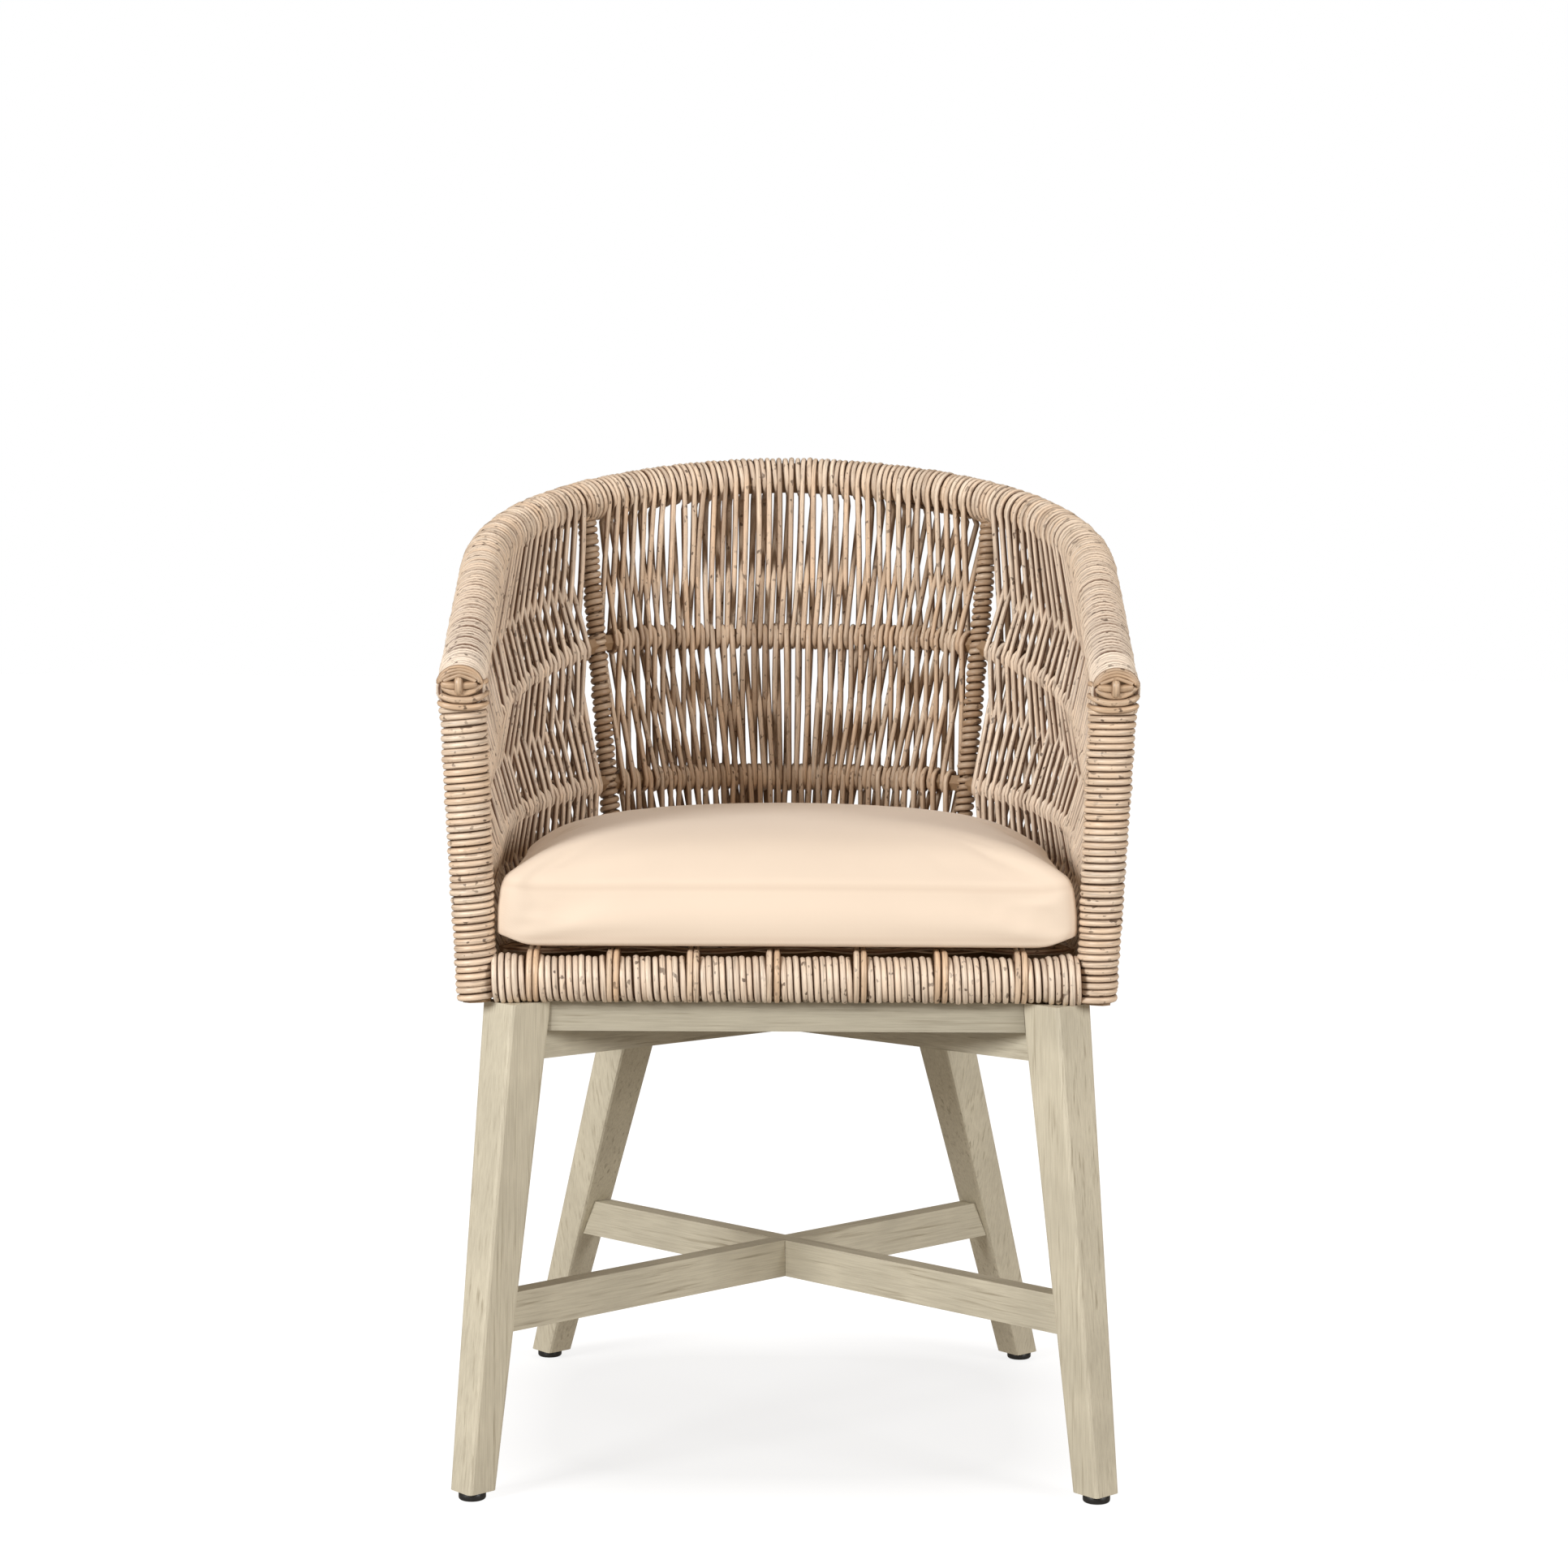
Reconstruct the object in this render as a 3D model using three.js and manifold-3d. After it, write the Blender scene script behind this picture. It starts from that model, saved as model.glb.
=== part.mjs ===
// Woven rattan tub chair: a barrel shell of wrapped poles and two-layer weave, on a painted wooden base
// with crossed stretchers, and a loose seat cushion.
// Millimetres, +Z up, the front towards -Y, resting on z = 0.
import * as THREE from "three";
import { mergeVertices } from "three/addons/utils/BufferGeometryUtils.js";
import Module from "manifold-3d";

const wasm = await Module();
wasm.setup();

// Clearances
const seatGap = 0.3; // between two pieces that touch
const overrun = 3; // how far a cutter reaches past the face that it opens

// Shell: a wall of horizontal levels between the seat ring and the rim
const rimBackHeight = 834.5; // centre line of the rim behind the sitter's back
const rimDrop = 176; // how far the rim comes down towards the arm ends
const rimDropPower = 1.78;
const armFlatShare = 0.1; // flattens the rim just before the arm ends
const armFlatPower = 8;
const rimHalfWidth = 267;
const rimBackDepth = 267; // y of the rim's centre line behind the back
const ringHalfWidth = 255.3;
const ringBackDepth = 187;
const armToeIn = 5; // how far each arm comes in from where the round back ends to the arm's end
const archStartDepth = 8; // how far in front of the middle the round back turns into straight arms
const shellFrontDepth = 270; // how far in front of the middle the arms end
const upperHoopShare = 0.6354; // level of each hoop, as a share of the way up from the ring to the rim
const lowerHoopShare = 0.3153;
const hoopLevelShare = 0.2; // share of the way to an arm end as far as which the hoops run level
const hoopDroppedShare = 0.85; // and are all the way down here
const hoopDrop = 164; // how far the shell's top would come down, were it to follow the hoops
const hoopReachPower = 6; // how soon the levels above the hoops turn to follow the rim

// Poles and what is wound round them
const rimPoleRadius = 14;
const rimWrapThickness = 5.3;
const postPoleTopRadius = 14;
const postPoleBottomRadius = 11.2;
const railPoleRadius = 13.2;
const hoopPoleRadius = 7;
const knuckleThickness = 4.9;
const uprightPoleRadius = 4.2;
const uprightWrapThickness = 3;
const bayEndPlay = 1; // between the weave and the upright that it stops at
const wrapGroove = 1.6; // depth of the groove between two ribs of a wrap
const strandRadius = 2.6;
const uprightRimShare = 0.307; // place of the back uprights along the rim, from the back centre to an arm end
const uprightRingShare = 0.263; // and along the seat ring
const bayJointShare = 0.64; // where the corner weave meets the arm weave
const strandPitch = 46; // between two upright strands of the simplified weave, along the rim
const leanTopShare = 0.06; // start of a leaning strand outward of its upright one, as a share of the pitch
const leanBottomShare = 0.44; // and how far it has crossed to the other side of it one tier below
const rimWrapPitch = 48; // between two ribs, on each wrapped pole
const postWrapPitch = 25;
const railWrapPitch = 25;
const ringWrapPitch = 70;
const uprightWrapPitch = 30;
const rimTuckShare = 0.2; // where a strand leaves a round pole, as a share of a half turn from its underside
const hoopTuckShare = 0.25; // and where it goes into the turns round a hoop

// Wooden base
const legTopHeight = 404.4;
const legTopSide = 40.2;
const legFootSide = 27;
const legEdgeRadius = 3;
const legTurnDegrees = 42; // turn of the square legs, so that the stretchers meet them face on
const frontLegInset = 36.5; // from the side of the seat ring in to the top of a front leg's axis
const frontLegSetback = 6.1; // from the posts' axes back to it
const frontSplayX = 34.9; // how far a front foot stands out from under its top
const frontSplayY = 28.7;
const rearLegSpread = 0.4916; // place of the rear legs' tops, as a share of the ring's half width
const rearLegSetback = 155.3; // from the back of the seat ring forward to them
const rearSplayX = 97.9;
const rearSplayY = 170.3;
const stretcherHeight = 150; // centre of the lower crossed stretchers
const stretcherWidth = 17;
const stretcherDepth = 32;
const crossRailWidth = 18;
const crossRailDepth = 48.4;
const apronWidth = 18;
const apronDepth = 24.4;
const apronInset = 9; // from the line between two legs' axes in to the middle of the apron
const tenonWidth = 9;
const tenonLength = 12;
const tenonShoulder = 5; // step from the stretcher's top and bottom to its tenon

// Glides and screws
const glideRadius = 11.5;
const glideHeight = 7;
const glideEdge = 2;
const nailRadius = 1.8;
const nailLength = 14;
const nailHoleExtra = 2;
const screwRadius = 2.2;
const screwHeadRadius = 4.2;
const screwHeadHeight = 3;
const screwLength = 36;
const screwInPole = 16; // how deep a screw goes into a seat bearer

// Seat
const bearerRadius = 18;
const frontBearerSetback = 80; // from the front rail's axis back to the first bearer
const middleBearerSetback = 26; // from the rear legs' tops forward to the second one
const rearBearerInset = 75; // from the back of the seat ring forward to the third one
const deckThickness = 9;
const deckInset = 1.2; // play between the deck's edge and the wrapped poles
const cushionHalfWidth = 238.5;
const cushionFrontInset = 4; // from the front of the shell back to the cushion's front
const cushionBackInset = 6; // from the ring's centre line to the back of the cushion
const cushionCornerRadius = 20;
const cushionSeamHeight = 50;
const cushionCrown = 43.5;
const cushionFlatPower = 3; // how far out the top stays flat
const cushionRoundPower = 0.6; // how round it turns down to the seam
const cushionWaist = 2; // how far the sides pull in between the seams
const cushionSeamRib = 2.5;
const cushionUndercut = 12; // how far the bottom edge stands in from the top one, behind

// Arm end knots
const knotStrandRadius = 3.2;
const knotWidth = 24;
const knotRise = 6;

// Colours
const strandColour = 0xdcc4a4;
const rimColour = 0xe4d2b8;
const darkWrapColour = 0x8d7152;
const poleColour = 0xb9996f;
const woodColour = 0xcfc6ab;
const cushionColour = 0xf3e3cf;
const glideColour = 0x1b1b1b;
const steelColour = 0x9a9a98;

// Sizes worked out from the ones above
const up = new THREE.Vector3(0, 0, 1);
const sideways = new THREE.Vector3(1, 0, 0);
const rimWrapRadius = rimPoleRadius + seatGap + rimWrapThickness;
const railWrapRadius = railPoleRadius + seatGap + rimWrapThickness;
const postTopRadius = postPoleTopRadius + seatGap + rimWrapThickness;
const postBottomRadius = postPoleBottomRadius + seatGap + rimWrapThickness;
const knuckleRadius = hoopPoleRadius + seatGap + knuckleThickness;
const uprightWrapRadius = uprightPoleRadius + seatGap + uprightWrapThickness;
const shellBase = legTopHeight + seatGap; // underside of the wrapped poles that stand on the base
const ringHeight = shellBase + railWrapRadius;
const postY = postTopRadius - shellFrontDepth;
const frontTopX = ringHalfWidth - frontLegInset;
const frontTopY = postY + frontLegSetback;
const rearTopX = ringHalfWidth * rearLegSpread;
const rearTopY = ringBackDepth - rearLegSetback;
const cushionFrontY = cushionFrontInset - shellFrontDepth;
const crossRailHeight = legTopHeight - crossRailDepth / 2;
const apronHeight = legTopHeight - apronDepth / 2;
const bearerHeight = shellBase + bearerRadius;
const deckBottom = bearerHeight + bearerRadius + seatGap;
const deckTop = deckBottom + deckThickness;
const cushionBottom = Math.max(deckTop, ringHeight + railWrapRadius) + seatGap;

const chair = new THREE.Group();

function addPiece(name, geometry, colour, roughness = 0.7, metalness = 0) {
  const material = new THREE.MeshStandardMaterial({ color: colour, roughness, metalness });
  const piece = new THREE.Mesh(geometry, material);
  piece.name = name;
  chair.add(piece);
}

// Solids in and out of the boolean library
function toSolid(geometry) {
  const bare = geometry.clone();
  bare.deleteAttribute("normal");
  bare.deleteAttribute("uv");
  const merged = mergeVertices(bare);
  const vertProperties = new Float32Array(merged.attributes.position.array);
  const triVerts = new Uint32Array(merged.index.array);
  return new wasm.Manifold(new wasm.Mesh({ numProp: 3, vertProperties, triVerts }));
}

function toGeometry(solid) {
  const mesh = solid.getMesh();
  const geometry = new THREE.BufferGeometry();
  geometry.setAttribute("position", new THREE.BufferAttribute(mesh.vertProperties, 3));
  geometry.setIndex(new THREE.BufferAttribute(mesh.triVerts, 1));
  geometry.computeVertexNormals();
  return geometry;
}

const joined = (solids) => solids.reduce((whole, solid) => whole.add(solid));
const cutBy = (solid, cutters) => cutters.reduce((rest, cutter) => rest.subtract(cutter), solid);

// Six times the volume inside an indexed surface, negative where its faces point inwards
function signedVolume(points, index) {
  let total = 0;
  for (let i = 0; i < index.length; i += 3) {
    const [a, b, c] = [points[index[i]], points[index[i + 1]], points[index[i + 2]]];
    total += a.dot(b.clone().cross(c));
  }
  return total;
}

const centreOf = (ring) => ring.reduce((sum, p) => sum.add(p), new THREE.Vector3()).divideScalar(ring.length);

// A surface over rings of equally many points. A closed one runs on from its last ring to its first, as a
// sleeve does from its outside to its bore, whose rings from boreStart on split their quads along the same
// diagonals as the pole inside them; an open one is capped at both ends.
function skin(rings, closed = false, boreStart = Infinity) {
  const count = rings[0].length;
  const points = rings.flat();
  const index = [];
  const bands = closed ? rings.length : rings.length - 1;
  for (let r = 0; r < bands; r++) {
    const low = r * count;
    const high = ((r + 1) % rings.length) * count;
    for (let k = 0; k < count; k++) {
      const next = (k + 1) % count;
      if (r < boreStart) index.push(low + k, low + next, high + next, low + k, high + next, high + k);
      else index.push(low + k, low + next, high + k, low + next, high + next, high + k);
    }
  }
  if (!closed) {
    const last = (rings.length - 1) * count;
    const start = points.push(centreOf(rings[0])) - 1;
    const end = points.push(centreOf(rings[rings.length - 1])) - 1;
    for (let k = 0; k < count; k++) {
      const next = (k + 1) % count;
      index.push(start, next, k, end, last + k, last + next);
    }
  }
  if (signedVolume(points, index) < 0) index.reverse();
  const geometry = new THREE.BufferGeometry().setFromPoints(points);
  geometry.setIndex(index);
  geometry.computeVertexNormals();
  return geometry;
}

// A ring of points whose flats touch the circle of the radius, square to the tangent
function ringAround(centre, tangent, reference, radius, sides) {
  const n = reference.clone().addScaledVector(tangent, -reference.dot(tangent)).normalize();
  const b = tangent.clone().cross(n);
  const reach = radius / Math.cos(Math.PI / sides);
  return Array.from({ length: sides }, (_, k) => {
    const angle = ((k + 1 / 2) * 2 * Math.PI) / sides;
    return centre
      .clone()
      .addScaledVector(n, reach * Math.cos(angle))
      .addScaledVector(b, reach * Math.sin(angle));
  });
}

// Rings along a route of points, with the radius given for each share of the way
function ringsAlong(route, reference, sides, radiusAt) {
  const last = route.length - 1;
  return route.map((p, i) => {
    const ahead = route[Math.min(i + 1, last)];
    const behind = route[Math.max(i - 1, 0)];
    const tangent = ahead.clone().sub(behind).normalize();
    return ringAround(p, tangent, reference, radiusAt(i / last, i), sides);
  });
}

const sample = (pointAt, steps) => Array.from({ length: steps + 1 }, (_, i) => pointAt(i / steps));

// A solid pole along a route
function pole(route, reference, sides, radiusAt) {
  return skin(ringsAlong(route, reference, sides, radiusAt));
}

// The outside of what is wound round a pole, a groove and a rib in turn, grown by an extra
function ribbedRings(pointAt, reference, sides, ribs, radiusAt, extra = 0) {
  const grown = (share, i) => radiusAt(share) - (i % 2 ? 0 : wrapGroove) + extra;
  return ringsAlong(sample(pointAt, ribs * 2), reference, sides, grown);
}

// The same as a sleeve, with the pole's bore on the pole's own route
function wrap(pointAt, boreRoute, reference, sides, ribs, radiusAt, boreAt) {
  const outside = ribbedRings(pointAt, reference, sides, ribs, radiusAt);
  const bore = ringsAlong(boreRoute, reference, sides, boreAt);
  return skin([...outside, ...bore.reverse()], true, outside.length);
}

// And as a tool that copes other pieces to the sleeve, run on past both ends
function wrapCutter(pointAt, reference, sides, ribs, radiusAt, runOn) {
  const rings = ribbedRings(pointAt, reference, sides, ribs, radiusAt, seatGap);
  const moved = (ring, next) => {
    const step = centreOf(ring).sub(centreOf(next)).setLength(runOn);
    return ring.map((p) => p.clone().add(step));
  };
  const last = rings.length - 1;
  return toSolid(skin([moved(rings[0], rings[1]), ...rings, moved(rings[last], rings[last - 1])]));
}

const ribCount = (length, pitch) => Math.max(2, Math.round(length / pitch));

// The shell's levels: plan of half a level, from the back centre to an arm end
const planCache = new Map();
function levelPlan(level) {
  if (!planCache.has(level)) {
    const half = THREE.MathUtils.lerp(ringHalfWidth, rimHalfWidth, level);
    const back = THREE.MathUtils.lerp(ringBackDepth, rimBackDepth, level);
    const plan = new THREE.CurvePath();
    plan.add(new THREE.EllipseCurve(0, -archStartDepth, half, back + archStartDepth, Math.PI / 2, 0, true));
    const armStart = new THREE.Vector2(half, -archStartDepth);
    plan.add(new THREE.LineCurve(armStart, new THREE.Vector2(half - armToeIn, -shellFrontDepth)));
    planCache.set(level, plan);
  }
  return planCache.get(level);
}

const levelLength = (level) => levelPlan(level).getLength();

// Height of the rim at a share of the way from the back centre to an arm end
function rimHeight(share) {
  const along = Math.abs(share);
  const drop = (1 + armFlatShare) * along ** rimDropPower - armFlatShare * along ** armFlatPower;
  return rimBackHeight - rimDrop * drop;
}

// Height of a level: the hoops have their own fall, which is gentler behind the back than the rim's
function levelHeight(share, level) {
  const fallen = THREE.MathUtils.smoothstep(Math.abs(share), hoopLevelShare, hoopDroppedShare);
  const hoopTop = rimBackHeight - hoopDrop * fallen;
  const top = THREE.MathUtils.lerp(hoopTop, rimHeight(share), level ** hoopReachPower);
  return THREE.MathUtils.lerp(ringHeight, top, level);
}

// A point of the shell's middle surface. share runs from -1 at the left arm end over 0 at the back centre
// to 1 at the right arm end, level from 0 at the seat ring to 1 at the rim.
function shellPoint(share, level) {
  const p = levelPlan(level).getPoint(Math.min(Math.abs(share), 1));
  return new THREE.Vector3(p.x * Math.sign(share), p.y, levelHeight(share, level));
}

// Directions on the shell's surface: along the level, outwards, and up the wall
const probe = 1e-3;
function shellFrame(share, level) {
  const along = shellPoint(share + probe, level)
    .sub(shellPoint(share - probe, level))
    .normalize();
  const outward = new THREE.Vector3(-along.y, along.x, 0).normalize();
  const upward = outward.clone().cross(along).normalize();
  if (upward.z < 0) upward.negate();
  return { along, outward, upward };
}

// Shares of a level that lie a length short of an arm end
const shareBeforeEnd = (level, length) => 1 - length / levelLength(level);
const uprightShare = (level) => THREE.MathUtils.lerp(uprightRingShare, uprightRimShare, level);
const postBackLength = 2 * postTopRadius + seatGap;

// Rim
const rimPointAt = (s) => shellPoint(2 * s - 1, 1);
const rimRoute = sample(rimPointAt, 22);
const rimRibs = ribCount(2 * levelLength(1), rimWrapPitch);
const rimOuter = () => rimWrapRadius;
const rimBore = () => rimPoleRadius + seatGap;
addPiece("top_rim_pole", pole(rimRoute, up, 8, () => rimPoleRadius), poleColour);
addPiece("top_rim_wrap", wrap(rimPointAt, rimRoute, up, 8, rimRibs, rimOuter, rimBore), rimColour);
const rimCutter = wrapCutter(rimPointAt, up, 8, rimRibs, rimOuter, postTopRadius);

// Front posts, from the leg tops up to the arm ends
const postFoot = shellPoint(shareBeforeEnd(0, postTopRadius), 0);
const postHead = shellPoint(shareBeforeEnd(1, postTopRadius), 1);
const postTopZ = postHead.z - rimPoleRadius;
const sidedNames = [["left", -1], ["right", 1]];
const postCutters = [];
for (const [name, side] of sidedNames) {
  const foot = new THREE.Vector3(side * postFoot.x, postY, shellBase);
  const head = new THREE.Vector3(side * postHead.x, postY, postTopZ);
  const pointAt = (s) => foot.clone().lerp(head, s);
  const route = [foot, head];
  const poleRadius = (s) => THREE.MathUtils.lerp(postPoleBottomRadius, postPoleTopRadius, s);
  const outerRadius = (s) => THREE.MathUtils.lerp(postBottomRadius, postTopRadius, s);
  const ribs = ribCount(foot.distanceTo(head), postWrapPitch);
  const core = toSolid(pole(route, sideways, 8, poleRadius)).subtract(rimCutter);
  const cover = toSolid(wrap(pointAt, route, sideways, 8, ribs, outerRadius, (s) => poleRadius(s) + seatGap));
  addPiece("front_post_" + name, toGeometry(core), poleColour);
  addPiece("front_post_wrap_" + name, toGeometry(cover.subtract(rimCutter)), strandColour);
  postCutters.push(wrapCutter(pointAt, sideways, 8, ribs, outerRadius, overrun));
}

// Front seat rail, butted between the posts
const railHalfLength = postFoot.x - postBottomRadius - seatGap;
const railPointAt = (s) => new THREE.Vector3(railHalfLength * (2 * s - 1), postY, ringHeight);
const railRoute = sample(railPointAt, 1);
const railRibs = ribCount(2 * railHalfLength, railWrapPitch);
const railOuter = () => railWrapRadius;
const railBore = () => railPoleRadius + seatGap;
addPiece("front_seat_rail", pole(railRoute, up, 8, () => railPoleRadius), poleColour);
addPiece(
  "front_seat_rail_wrap",
  wrap(railPointAt, railRoute, up, 8, railRibs, railOuter, railBore),
  strandColour,
);
const railCutter = wrapCutter(railPointAt, up, 8, railRibs, railOuter, overrun);

// Rear seat ring, from post to post round the back, its ends coped to the front rail
const postRadiusAtRing = THREE.MathUtils.lerp(
  postBottomRadius,
  postTopRadius,
  (2 * railWrapRadius) / (postTopZ - shellBase),
);
const ringEndShare = shareBeforeEnd(0, postTopRadius + postRadiusAtRing + seatGap);
const ringPointAt = (s) => shellPoint(ringEndShare * (2 * s - 1), 0);
const ringRoute = sample(ringPointAt, 18);
const ringRibs = ribCount(2 * levelLength(0), ringWrapPitch);
const ringPole = toSolid(pole(ringRoute, up, 8, () => railPoleRadius));
const ringWrap = toSolid(wrap(ringPointAt, ringRoute, up, 8, ringRibs, railOuter, railBore));
addPiece("seat_ring", toGeometry(ringPole.subtract(railCutter)), poleColour);
addPiece("seat_ring_wrap", toGeometry(ringWrap.subtract(railCutter)), strandColour);
const ringCutter = wrapCutter(ringPointAt, up, 8, ringRibs, railOuter, overrun);
const ringSweep = toSolid(
  pole(sample(ringPointAt, ringRibs * 2), up, 8, () => railWrapRadius + seatGap),
);

// Back uprights, coped to the ring and to the rim
const uprightCutters = [];
for (const [name, side] of sidedNames) {
  const pointAt = (s) => shellPoint(side * uprightShare(s), s);
  const route = sample(pointAt, 5);
  const ribs = ribCount(route[0].distanceTo(route[5]), uprightWrapPitch);
  const outer = () => uprightWrapRadius;
  const bore = () => uprightPoleRadius + seatGap;
  const core = toSolid(pole(route, sideways, 6, () => uprightPoleRadius));
  const cover = toSolid(wrap(pointAt, route, sideways, 6, ribs, outer, bore));
  addPiece("back_upright_" + name, toGeometry(cutBy(core, [rimCutter, ringCutter])), poleColour);
  addPiece("back_upright_wrap_" + name, toGeometry(cutBy(cover, [rimCutter, ringCutter])), darkWrapColour);
  uprightCutters.push(wrapCutter(pointAt, sideways, 6, ribs, outer, overrun));
}

// Hoops and weave. Each half of the back, each corner and each arm is a bay between two edges,
// given as a share of the level from the back centre.
const bayEdgeLength = uprightWrapRadius / Math.cos(Math.PI / 6) + bayEndPlay;
const backBay = {
  inner: () => 0,
  outer: (level) => uprightShare(level) - bayEdgeLength / levelLength(level),
};
const cornerBay = {
  inner: (level) => uprightShare(level) + bayEdgeLength / levelLength(level),
  outer: (level) => bayJointShare - seatGap / levelLength(level),
};
const armBay = {
  inner: (level) => bayJointShare + seatGap / levelLength(level),
  outer: (level) => shareBeforeEnd(level, postBackLength + overrun),
};

const bayPoint = (bay, side, level, across) =>
  shellPoint(side * THREE.MathUtils.lerp(bay.inner(level), bay.outer(level), across), level);

// The hoops' poles, coped to the uprights and the posts, and the tools that bore the weave for them
const hoopLevels = { upper: upperHoopShare, lower: lowerHoopShare };
const hoopCutters = [];
for (const [hoop, level] of Object.entries(hoopLevels)) {
  const inset = uprightWrapRadius / 2 / levelLength(level);
  const [near, far] = [uprightShare(level) - inset, uprightShare(level) + inset];
  const end = shareBeforeEnd(level, postTopRadius);
  const runs = { back: [-near, near], left: [-far, -end], right: [far, end] };
  for (const [name, [from, to]] of Object.entries(runs)) {
    const pointAt = (s) => shellPoint(THREE.MathUtils.lerp(from, to, s), level);
    const route = sample(pointAt, 8);
    const solid = toSolid(pole(route, up, 6, () => hoopPoleRadius));
    const coped = cutBy(solid, [...postCutters, ...uprightCutters]);
    addPiece(hoop + "_hoop_" + name, toGeometry(coped), poleColour);
    hoopCutters.push(toSolid(pole(route, up, 6, () => hoopPoleRadius + seatGap)));
  }
}

// A straight run of strand, in three flats
function strand(start, end) {
  const tangent = end.clone().sub(start).normalize();
  return toSolid(skin([start, end].map((p) => ringAround(p, tangent, sideways, strandRadius / 2, 3))));
}

// A point beside a pole on a level: face is 1 outside the shell and -1 inside it, vertical is 1 above
// the pole and -1 below it, and turnShare is the way round from straight above or below
function besidePole(share, level, reach, turnShare, face, vertical) {
  const { outward, upward } = shellFrame(share, level);
  return shellPoint(share, level)
    .addScaledVector(outward, face * reach * Math.sin(turnShare * Math.PI))
    .addScaledVector(upward, vertical * reach * Math.cos(turnShare * Math.PI));
}

// The weave of one bay on one side. In each tier the upright strands go from the inside of the shell at
// the top to the outside below. The leaning ones start behind them, cross over towards the back centre
// and end on the inside. At the hoops both go into the turns that are wound round them.
function bayWeave(bay, side) {
  const levels = [1, upperHoopShare, lowerHoopShare, 0];
  const width = (level) => (bay.outer(level) - bay.inner(level)) * levelLength(level);
  const count = Math.max(2, Math.round(width(1) / strandPitch));
  const end = (level, step, face, vertical) => {
    const margin = strandRadius / width(level);
    const across = margin + ((1 - 2 * margin) * step) / count;
    const share = side * THREE.MathUtils.lerp(bay.inner(level), bay.outer(level), across);
    const wrapped = { 0: railWrapRadius, 1: rimWrapRadius }[level];
    if (!wrapped) {
      const reach = hoopPoleRadius + seatGap + knuckleThickness / 2;
      return besidePole(share, level, reach, hoopTuckShare, face, vertical);
    }
    const clear = strandRadius * Math.sin(rimTuckShare * Math.PI) + seatGap;
    return besidePole(share, level, wrapped / Math.cos(Math.PI / 8) + clear, rimTuckShare, face, vertical);
  };
  const solids = [];
  for (let tier = 0; tier < levels.length - 1; tier++) {
    const [top, bottom] = [levels[tier], levels[tier + 1]];
    for (let j = 0; j < count; j++) {
      const step = j + 1 / 2;
      solids.push(strand(end(top, step, -1, -1), end(bottom, step, 1, 1)));
      solids.push(strand(end(top, step + leanTopShare, 1, -1), end(bottom, step - leanBottomShare, -1, 1)));
    }
  }
  for (const level of Object.values(hoopLevels)) {
    const pointAt = (s) => bayPoint(bay, side, level, s);
    solids.push(toSolid(skin(ribbedRings(pointAt, up, 6, count, () => knuckleRadius))));
  }
  return joined(solids);
}

function addWeave(name, solid) {
  addPiece(name, toGeometry(cutBy(solid, hoopCutters)), strandColour);
}

addWeave("woven_back", bayWeave(backBay, -1).add(bayWeave(backBay, 1)));
for (const [name, side] of sidedNames) {
  addWeave("woven_corner_" + name, bayWeave(cornerBay, side));
  addWeave("woven_arm_" + name, bayWeave(armBay, side));
}

// Knots that close the arm ends: one strand across, held by one strand over it
for (const [name, side] of sidedNames) {
  const face = shellPoint(side, 1);
  const tangent = face
    .clone()
    .sub(shellPoint(side * (1 - probe), 1))
    .normalize();
  const frame = shellFrame(side * (1 - 2 * probe), 1);
  const at = (across, out, rise) =>
    face
      .clone()
      .addScaledVector(sideways, across)
      .addScaledVector(tangent, out)
      .addScaledVector(frame.upward, rise);
  const start = seatGap + knotStrandRadius / Math.cos(Math.PI / 6);
  const crossBow = (s) => at(knotWidth * (s - 1 / 2), start, 2 * knotRise * s * (s - 1));
  const overBow = (s) => at(0, start + knotStrandRadius * Math.sin(Math.PI * s), knotRise * (1 - 2 * s));
  const across = toSolid(pole(sample(crossBow, 4), tangent, 6, () => knotStrandRadius));
  const over = toSolid(pole(sample(overBow, 4), sideways, 6, () => knotStrandRadius));
  addPiece("arm_end_knot_" + name, toGeometry(across.add(over)), darkWrapColour);
}

// Base: square legs with eased edges, tapering and splaying to the floor
const legFoot = glideHeight + seatGap;
const frontLeg = [frontTopX + frontSplayX, frontTopY - frontSplayY, frontTopX, frontTopY];
const rearLeg = [rearTopX + rearSplayX, rearTopY + rearSplayY, rearTopX, rearTopY];
const legSpots = [
  ["front_left", -1, ...frontLeg],
  ["front_right", 1, ...frontLeg],
  ["rear_left", -1, ...rearLeg],
  ["rear_right", 1, ...rearLeg],
];

// Point on a leg's axis at a height
function legAxis([, side, footX, footY, topX, topY], z) {
  const share = z / legTopHeight;
  return new THREE.Vector3(
    side * THREE.MathUtils.lerp(footX, topX, share),
    THREE.MathUtils.lerp(footY, topY, share),
    z,
  );
}

function legSolid(spot, extra = 0) {
  const turn = THREE.MathUtils.degToRad(legTurnDegrees);
  const section = (z) => {
    const centre = legAxis(spot, z);
    const half = THREE.MathUtils.lerp(legFootSide, legTopSide, z / legTopHeight) / 2 + extra;
    const flat = half - legEdgeRadius;
    const corner = half - legEdgeRadius * (1 - Math.SQRT1_2);
    const quarter = [[half, -flat], [half, flat], [corner, corner]];
    const points = [];
    for (let q = 0; q < 4; q++) {
      for (const [x, y] of quarter) {
        const p = new THREE.Vector3(x, y, 0).applyAxisAngle(up, turn + (q * Math.PI) / 2);
        points.push(p.add(centre));
      }
    }
    return points;
  };
  const ends = extra ? [-overrun, legTopHeight + overrun] : [legFoot, legTopHeight];
  return toSolid(skin(ends.map(section)));
}

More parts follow.
